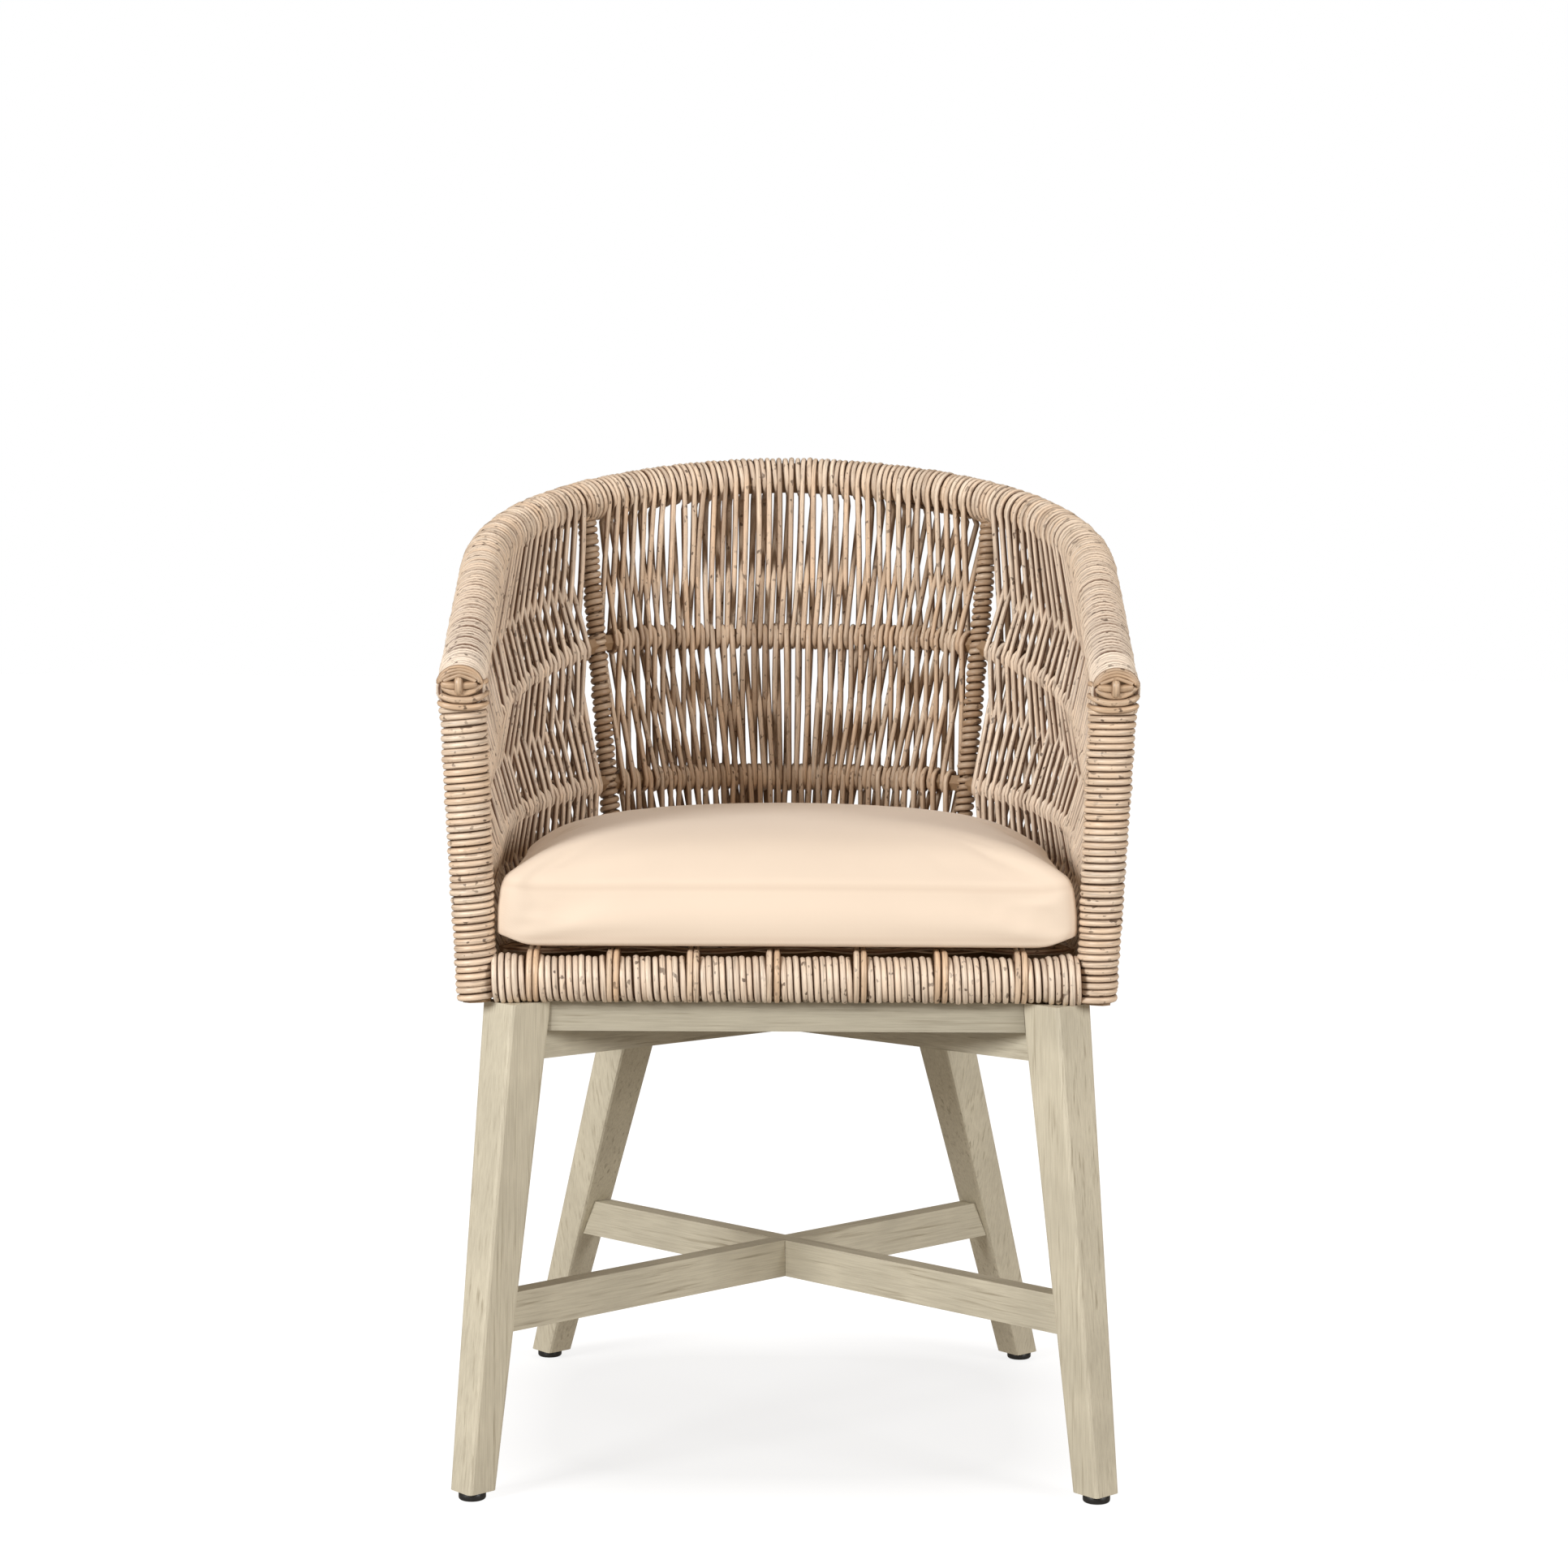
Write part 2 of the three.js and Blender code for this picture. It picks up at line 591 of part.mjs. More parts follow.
// A straight board between two points, with the same extra on every side
function board(start, end, width, depth, extra = 0) {
  const run = end.clone().sub(start);
  const geometry = new THREE.BoxGeometry(run.length() + 2 * extra, width + 2 * extra, depth + 2 * extra);
  geometry.rotateZ(Math.atan2(run.y, run.x));
  const middle = start.clone().lerp(end, 1 / 2);
  geometry.translate(middle.x, middle.y, middle.z);
  return toSolid(geometry);
}

const [frontLeft, frontRight, rearLeft, rearRight] = legSpots;
const legCutters = new Map(legSpots.map((spot) => [spot, legSolid(spot, seatGap)]));
const legCuts = new Map(legSpots.map((spot) => [spot, []]));

// Two boards crossed on the diagonals, halved into each other and tenoned into the legs. The first is
// notched from above and the second from below.
const diagonals = [
  [frontLeft, rearRight],
  [frontRight, rearLeft],
];
function crossedPair(height, width, depth, names) {
  const ends = diagonals.map((run) => run.map((spot) => legAxis(spot, height)));
  const legHalf = THREE.MathUtils.lerp(legFootSide, legTopSide, height / legTopHeight) / 2;
  const tenonDepth = depth - 2 * tenonShoulder;
  return diagonals.map((run, i) => {
    const lift = (i ? -1 : 1) * (depth / 4 + overrun / 2);
    const lap = ends[1 - i].map((p) => p.clone().setZ(height + lift));
    const notch = board(...lap, width + 2 * seatGap, depth / 2 + overrun + seatGap);
    const cutters = [notch, ...run.map((spot) => legCutters.get(spot))];
    let made = cutBy(board(...ends[i], width, depth), cutters);
    run.forEach((spot, k) => {
      const inward = ends[i][1 - k].clone().sub(ends[i][k]).normalize();
      const tip = ends[i][k].clone().addScaledVector(inward, legHalf - tenonLength);
      const root = ends[i][k].clone().addScaledVector(inward, legHalf + tenonLength);
      made = made.add(board(tip, root, tenonWidth, tenonDepth));
      legCuts.get(spot).push(board(tip, root, tenonWidth, tenonDepth, seatGap));
    });
    return [names[i], made];
  });
}

const stretchers = crossedPair(stretcherHeight, stretcherWidth, stretcherDepth, [
  "lower_stretcher_a",
  "lower_stretcher_b",
]);
const crossRails = crossedPair(crossRailHeight, crossRailWidth, crossRailDepth, [
  "upper_cross_rail_a",
  "upper_cross_rail_b",
]);

// Seat bearers: three poles across the seat, let in between the ring's sides
const bearerSpots = [
  ["front", postY + frontBearerSetback],
  ["middle", rearTopY - middleBearerSetback],
  ["rear", ringBackDepth - rearBearerInset],
];
const bearers = bearerSpots.map(([name, y]) => {
  const route = [-1, 1].map((s) => new THREE.Vector3(s * ringHalfWidth, y, bearerHeight));
  const outside = toSolid(pole(route, up, 8, () => bearerRadius)).subtract(ringSweep);
  const bodies = outside.decompose().sort((a, b) => b.volume() - a.volume());
  return [name, y, bodies[0]];
});

// Screws, up through the cross rails into the front and middle bearers
const screwHeadZ = bearerHeight - bearerRadius + screwInPole - screwLength;
function screwGeometry(extra, headDrop) {
  const profile = [
    [0, -headDrop],
    [screwHeadRadius + extra, -headDrop],
    [screwHeadRadius + extra, screwHeadHeight / 2],
    [screwRadius + extra, screwHeadHeight],
    [screwRadius + extra, screwLength + extra - screwRadius],
    [0, screwLength + extra],
  ];
  const geometry = new THREE.LatheGeometry(
    profile.map(([r, z]) => new THREE.Vector2(r, z)),
    10,
  );
  geometry.rotateX(Math.PI / 2);
  return geometry;
}

const screwSpots = [];
for (const [, y] of bearerSpots.slice(0, 2)) {
  for (const run of diagonals) {
    const [p, q] = run.map((spot) => legAxis(spot, crossRailHeight));
    const share = (y - p.y) / (q.y - p.y);
    screwSpots.push(new THREE.Vector3(THREE.MathUtils.lerp(p.x, q.x, share), y, screwHeadZ));
  }
}
const screwCutters = screwSpots.map((spot) => {
  const geometry = screwGeometry(seatGap, crossRailDepth);
  geometry.translate(spot.x, spot.y, spot.z);
  return toSolid(geometry);
});
screwSpots.forEach((spot, i) => {
  const geometry = screwGeometry(0, 0);
  geometry.translate(spot.x, spot.y, spot.z);
  addPiece("base_screw_" + (i + 1), geometry, steelColour, 0.4, 1);
});
bearers.forEach(([name, , solid]) => {
  addPiece("seat_bearer_" + name, toGeometry(cutBy(solid, screwCutters)), poleColour);
});
stretchers.forEach(([name, solid]) => addPiece(name, toGeometry(solid), woodColour));
crossRails.forEach(([name, solid]) => addPiece(name, toGeometry(cutBy(solid, screwCutters)), woodColour));

// Aprons between the leg tops, mitred round the legs and the cross rails
const railCutters = diagonals.map(([a, b]) =>
  board(legAxis(a, crossRailHeight), legAxis(b, crossRailHeight), crossRailWidth, crossRailDepth, seatGap),
);
const apronRuns = [
  ["apron_front", frontLeft, frontRight],
  ["apron_back", rearLeft, rearRight],
  ["apron_left", frontLeft, rearLeft],
  ["apron_right", frontRight, rearRight],
];
const baseMiddle = centreOf(legSpots.map((spot) => legAxis(spot, apronHeight)));
for (const [name, a, b] of apronRuns) {
  const [p, q] = [legAxis(a, apronHeight), legAxis(b, apronHeight)];
  const inward = q.clone().sub(p).cross(up).setLength(apronInset);
  if (inward.dot(baseMiddle.clone().sub(p)) < 0) inward.negate();
  const whole = board(p.add(inward), q.add(inward), apronWidth, apronDepth);
  const rest = cutBy(whole, [legCutters.get(a), legCutters.get(b), ...railCutters]);
  const bodies = rest.decompose().sort((m, n) => n.volume() - m.volume());
  addPiece(name, toGeometry(bodies[0]), woodColour);
}

// Glides, nailed into the feet
function glideGeometry() {
  const profile = [
    [0, 0],
    [glideRadius - glideEdge, 0],
    [glideRadius, glideEdge],
    [glideRadius, glideHeight],
    [nailRadius, glideHeight],
    [nailRadius, glideHeight + nailLength - nailRadius],
    [0, glideHeight + nailLength],
  ];
  const geometry = new THREE.LatheGeometry(
    profile.map(([r, z]) => new THREE.Vector2(r, z)),
    14,
  );
  geometry.rotateX(Math.PI / 2);
  return geometry;
}

for (const spot of legSpots) {
  const foot = legAxis(spot, 0);
  const glide = glideGeometry();
  glide.translate(foot.x, foot.y, 0);
  addPiece("glide_" + spot[0], glide, glideColour, 0.5);
  const holeDepth = nailLength + nailHoleExtra + overrun;
  const hole = new THREE.CylinderGeometry(nailRadius + seatGap, nailRadius + seatGap, holeDepth, 10);
  hole.rotateX(Math.PI / 2);
  hole.translate(foot.x, foot.y, glideHeight + nailLength + nailHoleExtra - holeDepth / 2);
  const leg = cutBy(legSolid(spot), [...legCuts.get(spot), toSolid(hole)]);
  addPiece("leg_" + spot[0], toGeometry(leg), woodColour);
}

// Plan of the seat: round behind, with the arms' toe-in, straight at the front
function seatPlan(inset, halfWidth, frontY, cornerRadius) {
  const plan = new THREE.Shape();
  const half = Math.min(halfWidth, ringHalfWidth - inset);
  const frontHalf = half - armToeIn;
  const back = ringBackDepth - inset;
  plan.moveTo(half, -archStartDepth);
  plan.absellipse(0, -archStartDepth, half, back + archStartDepth, 0, Math.PI, false);
  const cornerX = frontHalf - cornerRadius;
  const cornerY = frontY + cornerRadius;
  plan.lineTo(-frontHalf, cornerY);
  plan.absarc(-cornerX, cornerY, cornerRadius, Math.PI, 1.5 * Math.PI, false);
  plan.lineTo(cornerX, frontY);
  plan.absarc(cornerX, cornerY, cornerRadius, 1.5 * Math.PI, 2 * Math.PI, false);
  plan.closePath();
  return plan;
}

// Woven seat deck on the bearers
const deckPlan = seatPlan(
  railWrapRadius / Math.cos(Math.PI / 8) + deckInset,
  ringHalfWidth,
  postY + railWrapRadius + deckInset,
  deckInset,
);
const deckSettings = { depth: deckThickness, bevelEnabled: false, curveSegments: 12 };
const deck = new THREE.ExtrudeGeometry(deckPlan, deckSettings);
deck.translate(0, 0, deckBottom);
addPiece("woven_seat_deck", deck, strandColour);

// Loose cushion: crowned, with a seam rib at both edges of the band and sides that pull in between them
const cushionPlan = seatPlan(cushionBackInset, cushionHalfWidth, cushionFrontY, cushionCornerRadius);
const outline = cushionPlan.getSpacedPoints(56).slice(0, -1);
const cushionBackY = ringBackDepth - cushionBackInset;
const cushionCentre = new THREE.Vector2(0, (cushionFrontY + cushionBackY) / 2);
const crownSteps = 4;

// The outline drawn in by an inset, and behind also by a share of the undercut
const cushionRing = (inset, undercutShare, z) =>
  outline.map((p) => {
    const reach = p.clone().sub(cushionCentre);
    const behind = Math.max(0, p.y / cushionBackY);
    const length = reach.length() - inset - cushionUndercut * undercutShare * behind;
    const q = cushionCentre.clone().addScaledVector(reach.normalize(), length);
    return new THREE.Vector3(q.x, q.y, z);
  });
const shareRing = (share, z) =>
  outline.map((p) => {
    const q = cushionCentre.clone().lerp(p, share);
    return new THREE.Vector3(q.x, q.y, z);
  });
const cushionRings = [
  shareRing(1 / 2, cushionBottom),
  cushionRing(2 * cushionSeamRib, 1, cushionBottom),
  cushionRing(0, 1, cushionBottom + cushionSeamRib),
  cushionRing(cushionSeamRib, 1, cushionBottom + 2 * cushionSeamRib),
  cushionRing(cushionWaist, 1 / 2, cushionBottom + cushionSeamHeight / 2),
  cushionRing(cushionSeamRib, 0, cushionBottom + cushionSeamHeight - cushionSeamRib),
  cushionRing(0, 0, cushionBottom + cushionSeamHeight),
];
for (let i = 1; i <= crownSteps; i++) {
  const share = Math.cos((i / (crownSteps + 1)) * (Math.PI / 2));
  const rise = cushionCrown * (1 - share ** cushionFlatPower) ** cushionRoundPower;
  cushionRings.push(shareRing(share, cushionBottom + cushionSeamHeight + rise));
}
addPiece("seat_cushion", skin(cushionRings), cushionColour, 0.9);

// Stand the chair on the floor with the middle of its box at the origin
chair.updateMatrixWorld(true);
const box = new THREE.Box3().setFromObject(chair, true);
chair.position.y = -(box.min.y + box.max.y) / 2;

export default chair;
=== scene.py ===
"""Woven rattan tub chair: the strands, wraps, cushion, painted wood and studio around its CAD frame."""

import math

import bpy
import numpy as np
from mathutils import Matrix, Vector


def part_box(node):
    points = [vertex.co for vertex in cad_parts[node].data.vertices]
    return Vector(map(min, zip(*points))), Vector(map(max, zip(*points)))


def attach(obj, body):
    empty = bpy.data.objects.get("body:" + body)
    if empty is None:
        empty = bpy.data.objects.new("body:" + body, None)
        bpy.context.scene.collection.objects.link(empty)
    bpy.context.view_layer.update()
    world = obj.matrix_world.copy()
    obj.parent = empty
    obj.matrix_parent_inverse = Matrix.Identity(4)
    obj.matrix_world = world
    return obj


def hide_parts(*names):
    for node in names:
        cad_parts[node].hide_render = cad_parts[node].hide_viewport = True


bl_info = {
    "name": "Woven Tub Chair",
    "version": (1, 0, 0),
    "blender": (4, 5, 0),
    "location": "3D View > Sidebar > Tub Chair",
    "description": "Builds a woven rattan tub chair on a painted base around its CAD frame",
    "category": "Object",
}

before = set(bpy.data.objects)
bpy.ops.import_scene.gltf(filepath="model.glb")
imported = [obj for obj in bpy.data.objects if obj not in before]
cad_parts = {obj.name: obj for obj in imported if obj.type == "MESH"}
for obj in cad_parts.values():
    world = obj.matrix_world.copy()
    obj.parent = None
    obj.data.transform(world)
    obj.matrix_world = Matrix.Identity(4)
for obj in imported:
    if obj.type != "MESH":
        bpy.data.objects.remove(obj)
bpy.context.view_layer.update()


def centre_of(node):
    """Middle of a CAD node's box."""
    low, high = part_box(node)
    return (np.array(low) + np.array(high)) / 2


# The shell's measures in metres and shares, as the CAD part has them
_, POST_Y, RING_HEIGHT = centre_of("front_seat_rail")
SHIFT_Y = POST_Y + 0.2504
RIM_BACK_HEIGHT = 0.8345
RIM_DROP = 0.176
RIM_CURVE = 1.78
ARM_FLAT = 0.1
RIM_HALF = 0.267
RIM_BACK = 0.267
RING_HALF = 0.2553
RING_BACK = 0.187
ARCH_START = -0.008
SHELL_FRONT = -0.270
TOE_IN = 0.005
UPPER_HOOP = 0.6354
LOWER_HOOP = 0.3153
HOOP_DROP = 0.164
HOOP_LEVEL_SHARE = 0.2
HOOP_FALL_SHARE = 0.65
RIM_POLE = 0.014
RAIL_POLE = 0.0132
RAIL_END = 0.0128
POST_REACH = 0.0196
POST_POLE_FOOT = 0.0112
HOOP_POLE = 0.007
UPRIGHT_POLE = 0.0042
UPRIGHT_RIM_SHARE = 0.307
UPRIGHT_RING_SHARE = 0.263
UPRIGHT_ROOM = 0.0097
POST_ROOM = 0.0425
ARM_END_LOW = 0.6455
PLAY = 0.0003
PROBE = 1e-3
BACKWARD = np.array([0.0, 1.0, 0.0])

# The camera: its frame and lens in pixels, its place and its turns
FRAME_PIXELS = 1932
LENS_PIXELS = 4180
CAMERA_PLACE = (-0.003, -2.976, 0.795)
CAMERA_TILT = math.radians(90 - 4.46)
CAMERA_ROLL = 0.0047


def distance(name, description, default):
    """A length property, in metres."""
    return bpy.props.FloatProperty(name=name, description=description, default=default, unit="LENGTH")


def colour(name, description, default):
    """A colour property."""
    return bpy.props.FloatVectorProperty(
        name=name, description=description, default=default, size=3, subtype="COLOR", min=0, max=1
    )


class TubChairSizes(bpy.types.PropertyGroup):
    strand_diameter: distance("Strand", "Diameter of a weaving strand", 0.0055)
    strand_pitch: distance("Strand Pitch", "From one pair of upright strands to the next", 0.0111)
    post_pitch: distance("Post Pitch", "Between two turns round a post", 0.0057)
    rail_pitch: distance("Rail Pitch", "Between two turns round the rails", 0.0054)
    upright_pitch: distance("Upright Pitch", "Between two turns round a back upright", 0.0065)
    warp_pitch: distance("Warp Pitch", "Between two pairs of seat warps", 0.0655)
    unevenness: distance("Unevenness", "How far hand-wound strands stray from their places", 0.0005)
    cushion_swell: distance("Cushion Swell", "Furthest that the filling pushes the cloth out", 0.007)
    edge_softness: distance("Wood Edges", "Width of the rounded wood edges", 0.0014)


class TubChairColours(bpy.types.PropertyGroup):
    cane_cream: colour("Cane Cream", "Palest strands", (0.86, 0.71, 0.55))
    cane_peach: colour("Cane Peach", "Warm strands", (0.80, 0.57, 0.375))
    cane_grey: colour("Cane Grey", "Weathered strands", (0.58, 0.43, 0.30))
    # Cane Brown is also what shade darkens towards: partly browner cane, partly painted shade
    cane_brown_and_shade: colour("Cane Brown", "Darker strands", (0.36, 0.235, 0.14))
    cane_stain: colour("Cane Stain", "Nodes and stains", (0.09, 0.05, 0.028))
    # Cane Edge is painted shade, laid in the crevices where strands lie side by side
    painted_crevice_shade: colour("Cane Edge", "Where strands lie side by side", (0.13, 0.053, 0.021))
    # Rim Cane is what paleness lightens towards: partly paler cane, partly painted light
    pale_lit_cane: colour("Rim Cane", "Strands over the rim", (0.94, 0.81, 0.67))
    pole: colour("Pole", "Bare rattan poles", (0.30, 0.19, 0.10))
    wood_light: colour("Wood Light", "Rubbed paint", (0.70, 0.65, 0.51))
    wood_shade: colour("Wood Shade", "Paint in the grain", (0.60, 0.552, 0.43))
    wood_grain: colour("Wood Grain", "Open grain", (0.26, 0.21, 0.13))
    cushion: colour("Cushion", "Cushion cloth", (0.84, 0.705, 0.57))
    glide: colour("Glide", "Feet", (0.012, 0.012, 0.012))
    steel: colour("Screw Steel", "Screws", (0.55, 0.55, 0.54))


def unit(v):
    """Vectors of length 1 along the last axis."""
    return v / np.maximum(np.linalg.norm(v, axis=-1, keepdims=True), 1e-12)


def smooth(t):
    """Smoothstep of a share held between 0 and 1."""
    t = np.clip(t, 0, 1)
    return t * t * (3 - 2 * t)


def spread(x, y, z):
    """Points from coordinates whose shapes broadcast together."""
    return np.stack(np.broadcast_arrays(x, y, z), -1)


# The shell


def level_plan(level):
    """Lengths and points of half a level's plan: a quarter ellipse from the back, then a straight arm."""
    half = RING_HALF + (RIM_HALF - RING_HALF) * level
    back = RING_BACK + (RIM_BACK - RING_BACK) * level
    angle = np.linspace(0, math.pi / 2, 400)
    x = np.append(half * np.sin(angle), half - TOE_IN)
    y = np.append((back - ARCH_START) * np.cos(angle) + ARCH_START, SHELL_FRONT)
    run = np.concatenate([[0], np.cumsum(np.hypot(np.diff(x), np.diff(y)))])
    return run, x, y


def level_length(level):
    """Length of half a level."""
    return level_plan(level)[0][-1]


def rim_height(share):
    """Height of the rim: a power curve down towards the arm ends, eased off just before them."""
    along = np.minimum(np.abs(share), 1)
    return RIM_BACK_HEIGHT - RIM_DROP * ((1 + ARM_FLAT) * along**RIM_CURVE - ARM_FLAT * along**8)


def level_height(share, level):
    """Height of a level. The hoops run level behind the back and fall more gently than the rim."""
    hoop_top = RIM_BACK_HEIGHT - HOOP_DROP * smooth((np.abs(share) - HOOP_LEVEL_SHARE) / HOOP_FALL_SHARE)
    top = hoop_top + (rim_height(share) - hoop_top) * level**6
    return RING_HEIGHT + (top - RING_HEIGHT) * level


def shell(share, level):
    """Points of the shell's middle surface: x and y from the level's plan at a share of its half length,
    z between the seat ring and the rim."""
    run, x, y = level_plan(level)
    along = np.minimum(np.abs(share), 1) * run[-1]
    px = np.sign(share) * np.interp(along, run, x)
    py = np.interp(along, run, y) + SHIFT_Y
    return np.stack([px, py, level_height(share, level)], -1)


def shell_frame(share, level):
    """Directions on the shell: along the level, outward square to its plan, and up the wall."""
    along = unit(shell(share + PROBE, level) - shell(share - PROBE, level))
    outward = unit(np.stack([-along[..., 1], along[..., 0], 0 * along[..., 0]], -1))
    return along, outward, np.cross(along, outward)


def beside(share, level, reach, rise):
    """Points beside a level: out from the middle surface by reach and up along it by rise."""
    share, reach, rise = np.broadcast_arrays(share, reach, rise)
    _, outward, upward = shell_frame(share, level)
    return shell(share, level) + outward * reach[..., None] + upward * rise[..., None]


def upright_share(level):
    """Place of the back uprights on a level."""
    return UPRIGHT_RING_SHARE + (UPRIGHT_RIM_SHARE - UPRIGHT_RING_SHARE) * level


# Meshes


def linked(name, data):
    """A new object in the scene."""
    made = bpy.data.objects.new(name, data)
    bpy.context.scene.collection.objects.link(made)
    return made


def mesh_piece(name, verts, quads, fields, body, replaced, material):
    """A smooth mesh from flat arrays of points and quads, with one point attribute per field."""
    mesh = bpy.data.meshes.new(name)
    mesh.vertices.add(len(verts))
    mesh.vertices.foreach_set("co", np.ascontiguousarray(verts, np.float32).ravel())
    mesh.loops.add(quads.size)
    mesh.loops.foreach_set("vertex_index", np.ascontiguousarray(quads, np.int32).ravel())
    mesh.polygons.add(len(quads))
    mesh.polygons.foreach_set("loop_start", np.arange(0, quads.size, 4, dtype=np.int32))
    mesh.polygons.foreach_set("use_smooth", np.ones(len(quads), bool))
    for field, values in fields.items():
        kind, key = ("FLOAT_VECTOR", "vector") if values.ndim == 2 else ("FLOAT", "value")
        attribute = mesh.attributes.new(field, kind, "POINT")
        attribute.data.foreach_set(key, np.ascontiguousarray(values, np.float32).ravel())
    mesh.update(calc_edges=True)
    mesh.validate()
    piece = linked(name, mesh)
    mesh.materials.append(material)
    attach(piece, body)
    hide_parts(*replaced)
    return piece


def sheet_quads(rows, columns, sheets=1):
    """Quads of grids of rows by columns points whose last column joins the first."""
    sheet, row, column = np.meshgrid(
        np.arange(sheets), np.arange(rows - 1), np.arange(columns), indexing="ij"
    )
    low = (sheet * rows + row) * columns
    after = (column + 1) % columns
    quads = np.stack([low + column, low + after, low + columns + after, low + columns + column], -1)
    return quads.reshape(-1, 4)


def swept(path, radius, reference, sides=8):
    """Round strands along paths of shape (strands, points, 3). Each ring is square to the path and starts
    from the reference direction; the last ring at each end closes to a tip."""
    tangent = unit(np.gradient(path, axis=1))
    reference = np.broadcast_to(reference, path.shape)
    side = unit(reference - (reference * tangent).sum(-1, keepdims=True) * tangent)
    other = np.cross(tangent, side)
    angle = np.arange(sides) * 2 * math.pi / sides
    ring = np.cos(angle)[:, None] * side[:, :, None] + np.sin(angle)[:, None] * other[:, :, None]
    radius = np.array(np.broadcast_to(radius, path.shape[:2]))
    radius[:, [0, -1]] *= 0.05
    verts = path[:, :, None] + radius[:, :, None, None] * ring
    step = np.linalg.norm(np.diff(path, axis=1), axis=-1)
    length = np.concatenate([np.zeros((len(path), 1)), np.cumsum(step, axis=1)], 1)
    flow = spread(np.cos(angle) * 0.5, np.sin(angle) * 0.5, length[:, :, None])
    return verts, flow


def strand_piece(name, batches, replaced, material, sides=8):
    """One mesh of batches of strands: each has a path, radius, reference, tone, shade and paleness, which
    darken and lighten the cane partly as painted shade and painted light.
    """
    verts, quads, flows, start = [], [], [], 0
    marks = {"tone": [], "shade": [], "pale_and_lit": []}
    for batch in batches:
        v, flow = swept(batch["path"], batch["radius"], batch["reference"], sides)
        shape = v.shape[:3]
        quads.append(sheet_quads(shape[1], sides, shape[0]) + start)
        start += v.size // 3
        verts.append(v.reshape(-1, 3))
        flows.append(flow.reshape(-1, 3))
        for key, found in marks.items():
            value = np.asarray(batch.get(key, 0.0), float)
            value = value.reshape(value.shape + (1,) * (3 - value.ndim))
            found.append(np.broadcast_to(value, shape).ravel())
    fields = {key: np.concatenate(found) for key, found in marks.items()}
    fields["flow"] = np.concatenate(flows)
    return mesh_piece(
        name, np.concatenate(verts), np.concatenate(quads), fields, "chair", replaced, material
    )


def line(start, end, points, bow):
    """Straight runs between two sets of points, ends left out, with a bow that is largest half way."""
    t = (np.arange(points) + 1) / (points + 1)
    run = start[:, None] + (end - start)[:, None] * t[:, None]
    return run + bow * (4 * t * (1 - t))[:, None]


# Nodes


class Nodes:
    """A material's node tree, built with short calls."""

    def __init__(self, name):
        self.material = bpy.data.materials.new(name)
        self.material.use_nodes = True
        self.tree = self.material.node_tree
        self.shader = self.tree.nodes["Principled BSDF"]

    def add(self, kind, **settings):
        node = self.tree.nodes.new(kind)
        for key, value in settings.items():
            setattr(node, key, value)
        return node

    def put(self, value, socket):
        if isinstance(value, bpy.types.NodeSocket):
            self.tree.links.new(value, socket)
        elif isinstance(value, (tuple, list)) and len(value) == 3 and socket.type == "RGBA":
            socket.default_value = (*value, 1)
        else:
            socket.default_value = value

    def attribute(self, name, output):
        return self.add("ShaderNodeAttribute", attribute_name=name).outputs[output]

    def place(self):
        return self.add("ShaderNodeTexCoord").outputs["Object"]

    def parts(self, vector):
        node = self.add("ShaderNodeSeparateXYZ")
        self.put(vector, node.inputs[0])
        return node.outputs

    def pair(self, kind, a, b, **settings):
        node = self.add(kind, **settings)
        self.put(a, node.inputs[0])
        self.put(b, node.inputs[1])
        return node.outputs[0]

    def maths(self, operation, a, b=0.0, clamp=False):
        return self.pair("ShaderNodeMath", a, b, operation=operation, use_clamp=clamp)

    def vector(self, operation, a, b):
        return self.pair("ShaderNodeVectorMath", a, b, operation=operation)

    def bands(self, vector, direction, scale):
        node = self.add("ShaderNodeTexWave", wave_type="BANDS", bands_direction=direction)
        self.put(vector, node.inputs["Vector"])
        node.inputs["Scale"].default_value = scale
        return node.outputs["Fac"]

    def noise(self, vector, scale, detail=2.0, roughness=0.5):
        node = self.add("ShaderNodeTexNoise")
        self.put(vector, node.inputs["Vector"])
        node.inputs["Scale"].default_value = scale
        node.inputs["Detail"].default_value = detail
        node.inputs["Roughness"].default_value = roughness
        return node.outputs["Fac"]

    def ramp(self, factor, *stops):
        node = self.add("ShaderNodeValToRGB")
        elements = node.color_ramp.elements
        for place, value in stops[2:]:
            elements.new(place)
        for element, (place, value) in zip(elements, sorted(stops, key=lambda s: s[0])):
            element.position = place
            element.color = (*value, 1) if isinstance(value, (tuple, list)) else (value,) * 3 + (1,)
        self.put(factor, node.inputs[0])
        return node.outputs["Color"]

    def mix(self, factor, a, b, blend="MIX"):
        node = self.add("ShaderNodeMix", data_type="RGBA", blend_type=blend)
        self.put(factor, node.inputs["Factor"])
        self.put(a, node.inputs["A"])
        self.put(b, node.inputs["B"])
        return node.outputs["Result"]

    def bump(self, height, strength, distance):
        node = self.add("ShaderNodeBump")
        node.inputs["Strength"].default_value = strength
        node.inputs["Distance"].default_value = distance
        self.put(height, node.inputs["Height"])
        self.put(node.outputs[0], self.shader.inputs["Normal"])

    def finish(self, colour, roughness, specular=0.5, sheen=0.0, metallic=0.0):
        self.put(colour, self.shader.inputs["Base Color"])
        self.put(roughness, self.shader.inputs["Roughness"])
        self.shader.inputs["Specular IOR Level"].default_value = specular
        self.shader.inputs["Sheen Weight"].default_value = sheen
        self.shader.inputs["Metallic"].default_value = metallic
        return self.material


def rgb(value):
    """A colour property as a plain tuple."""
    return tuple(value[:3])


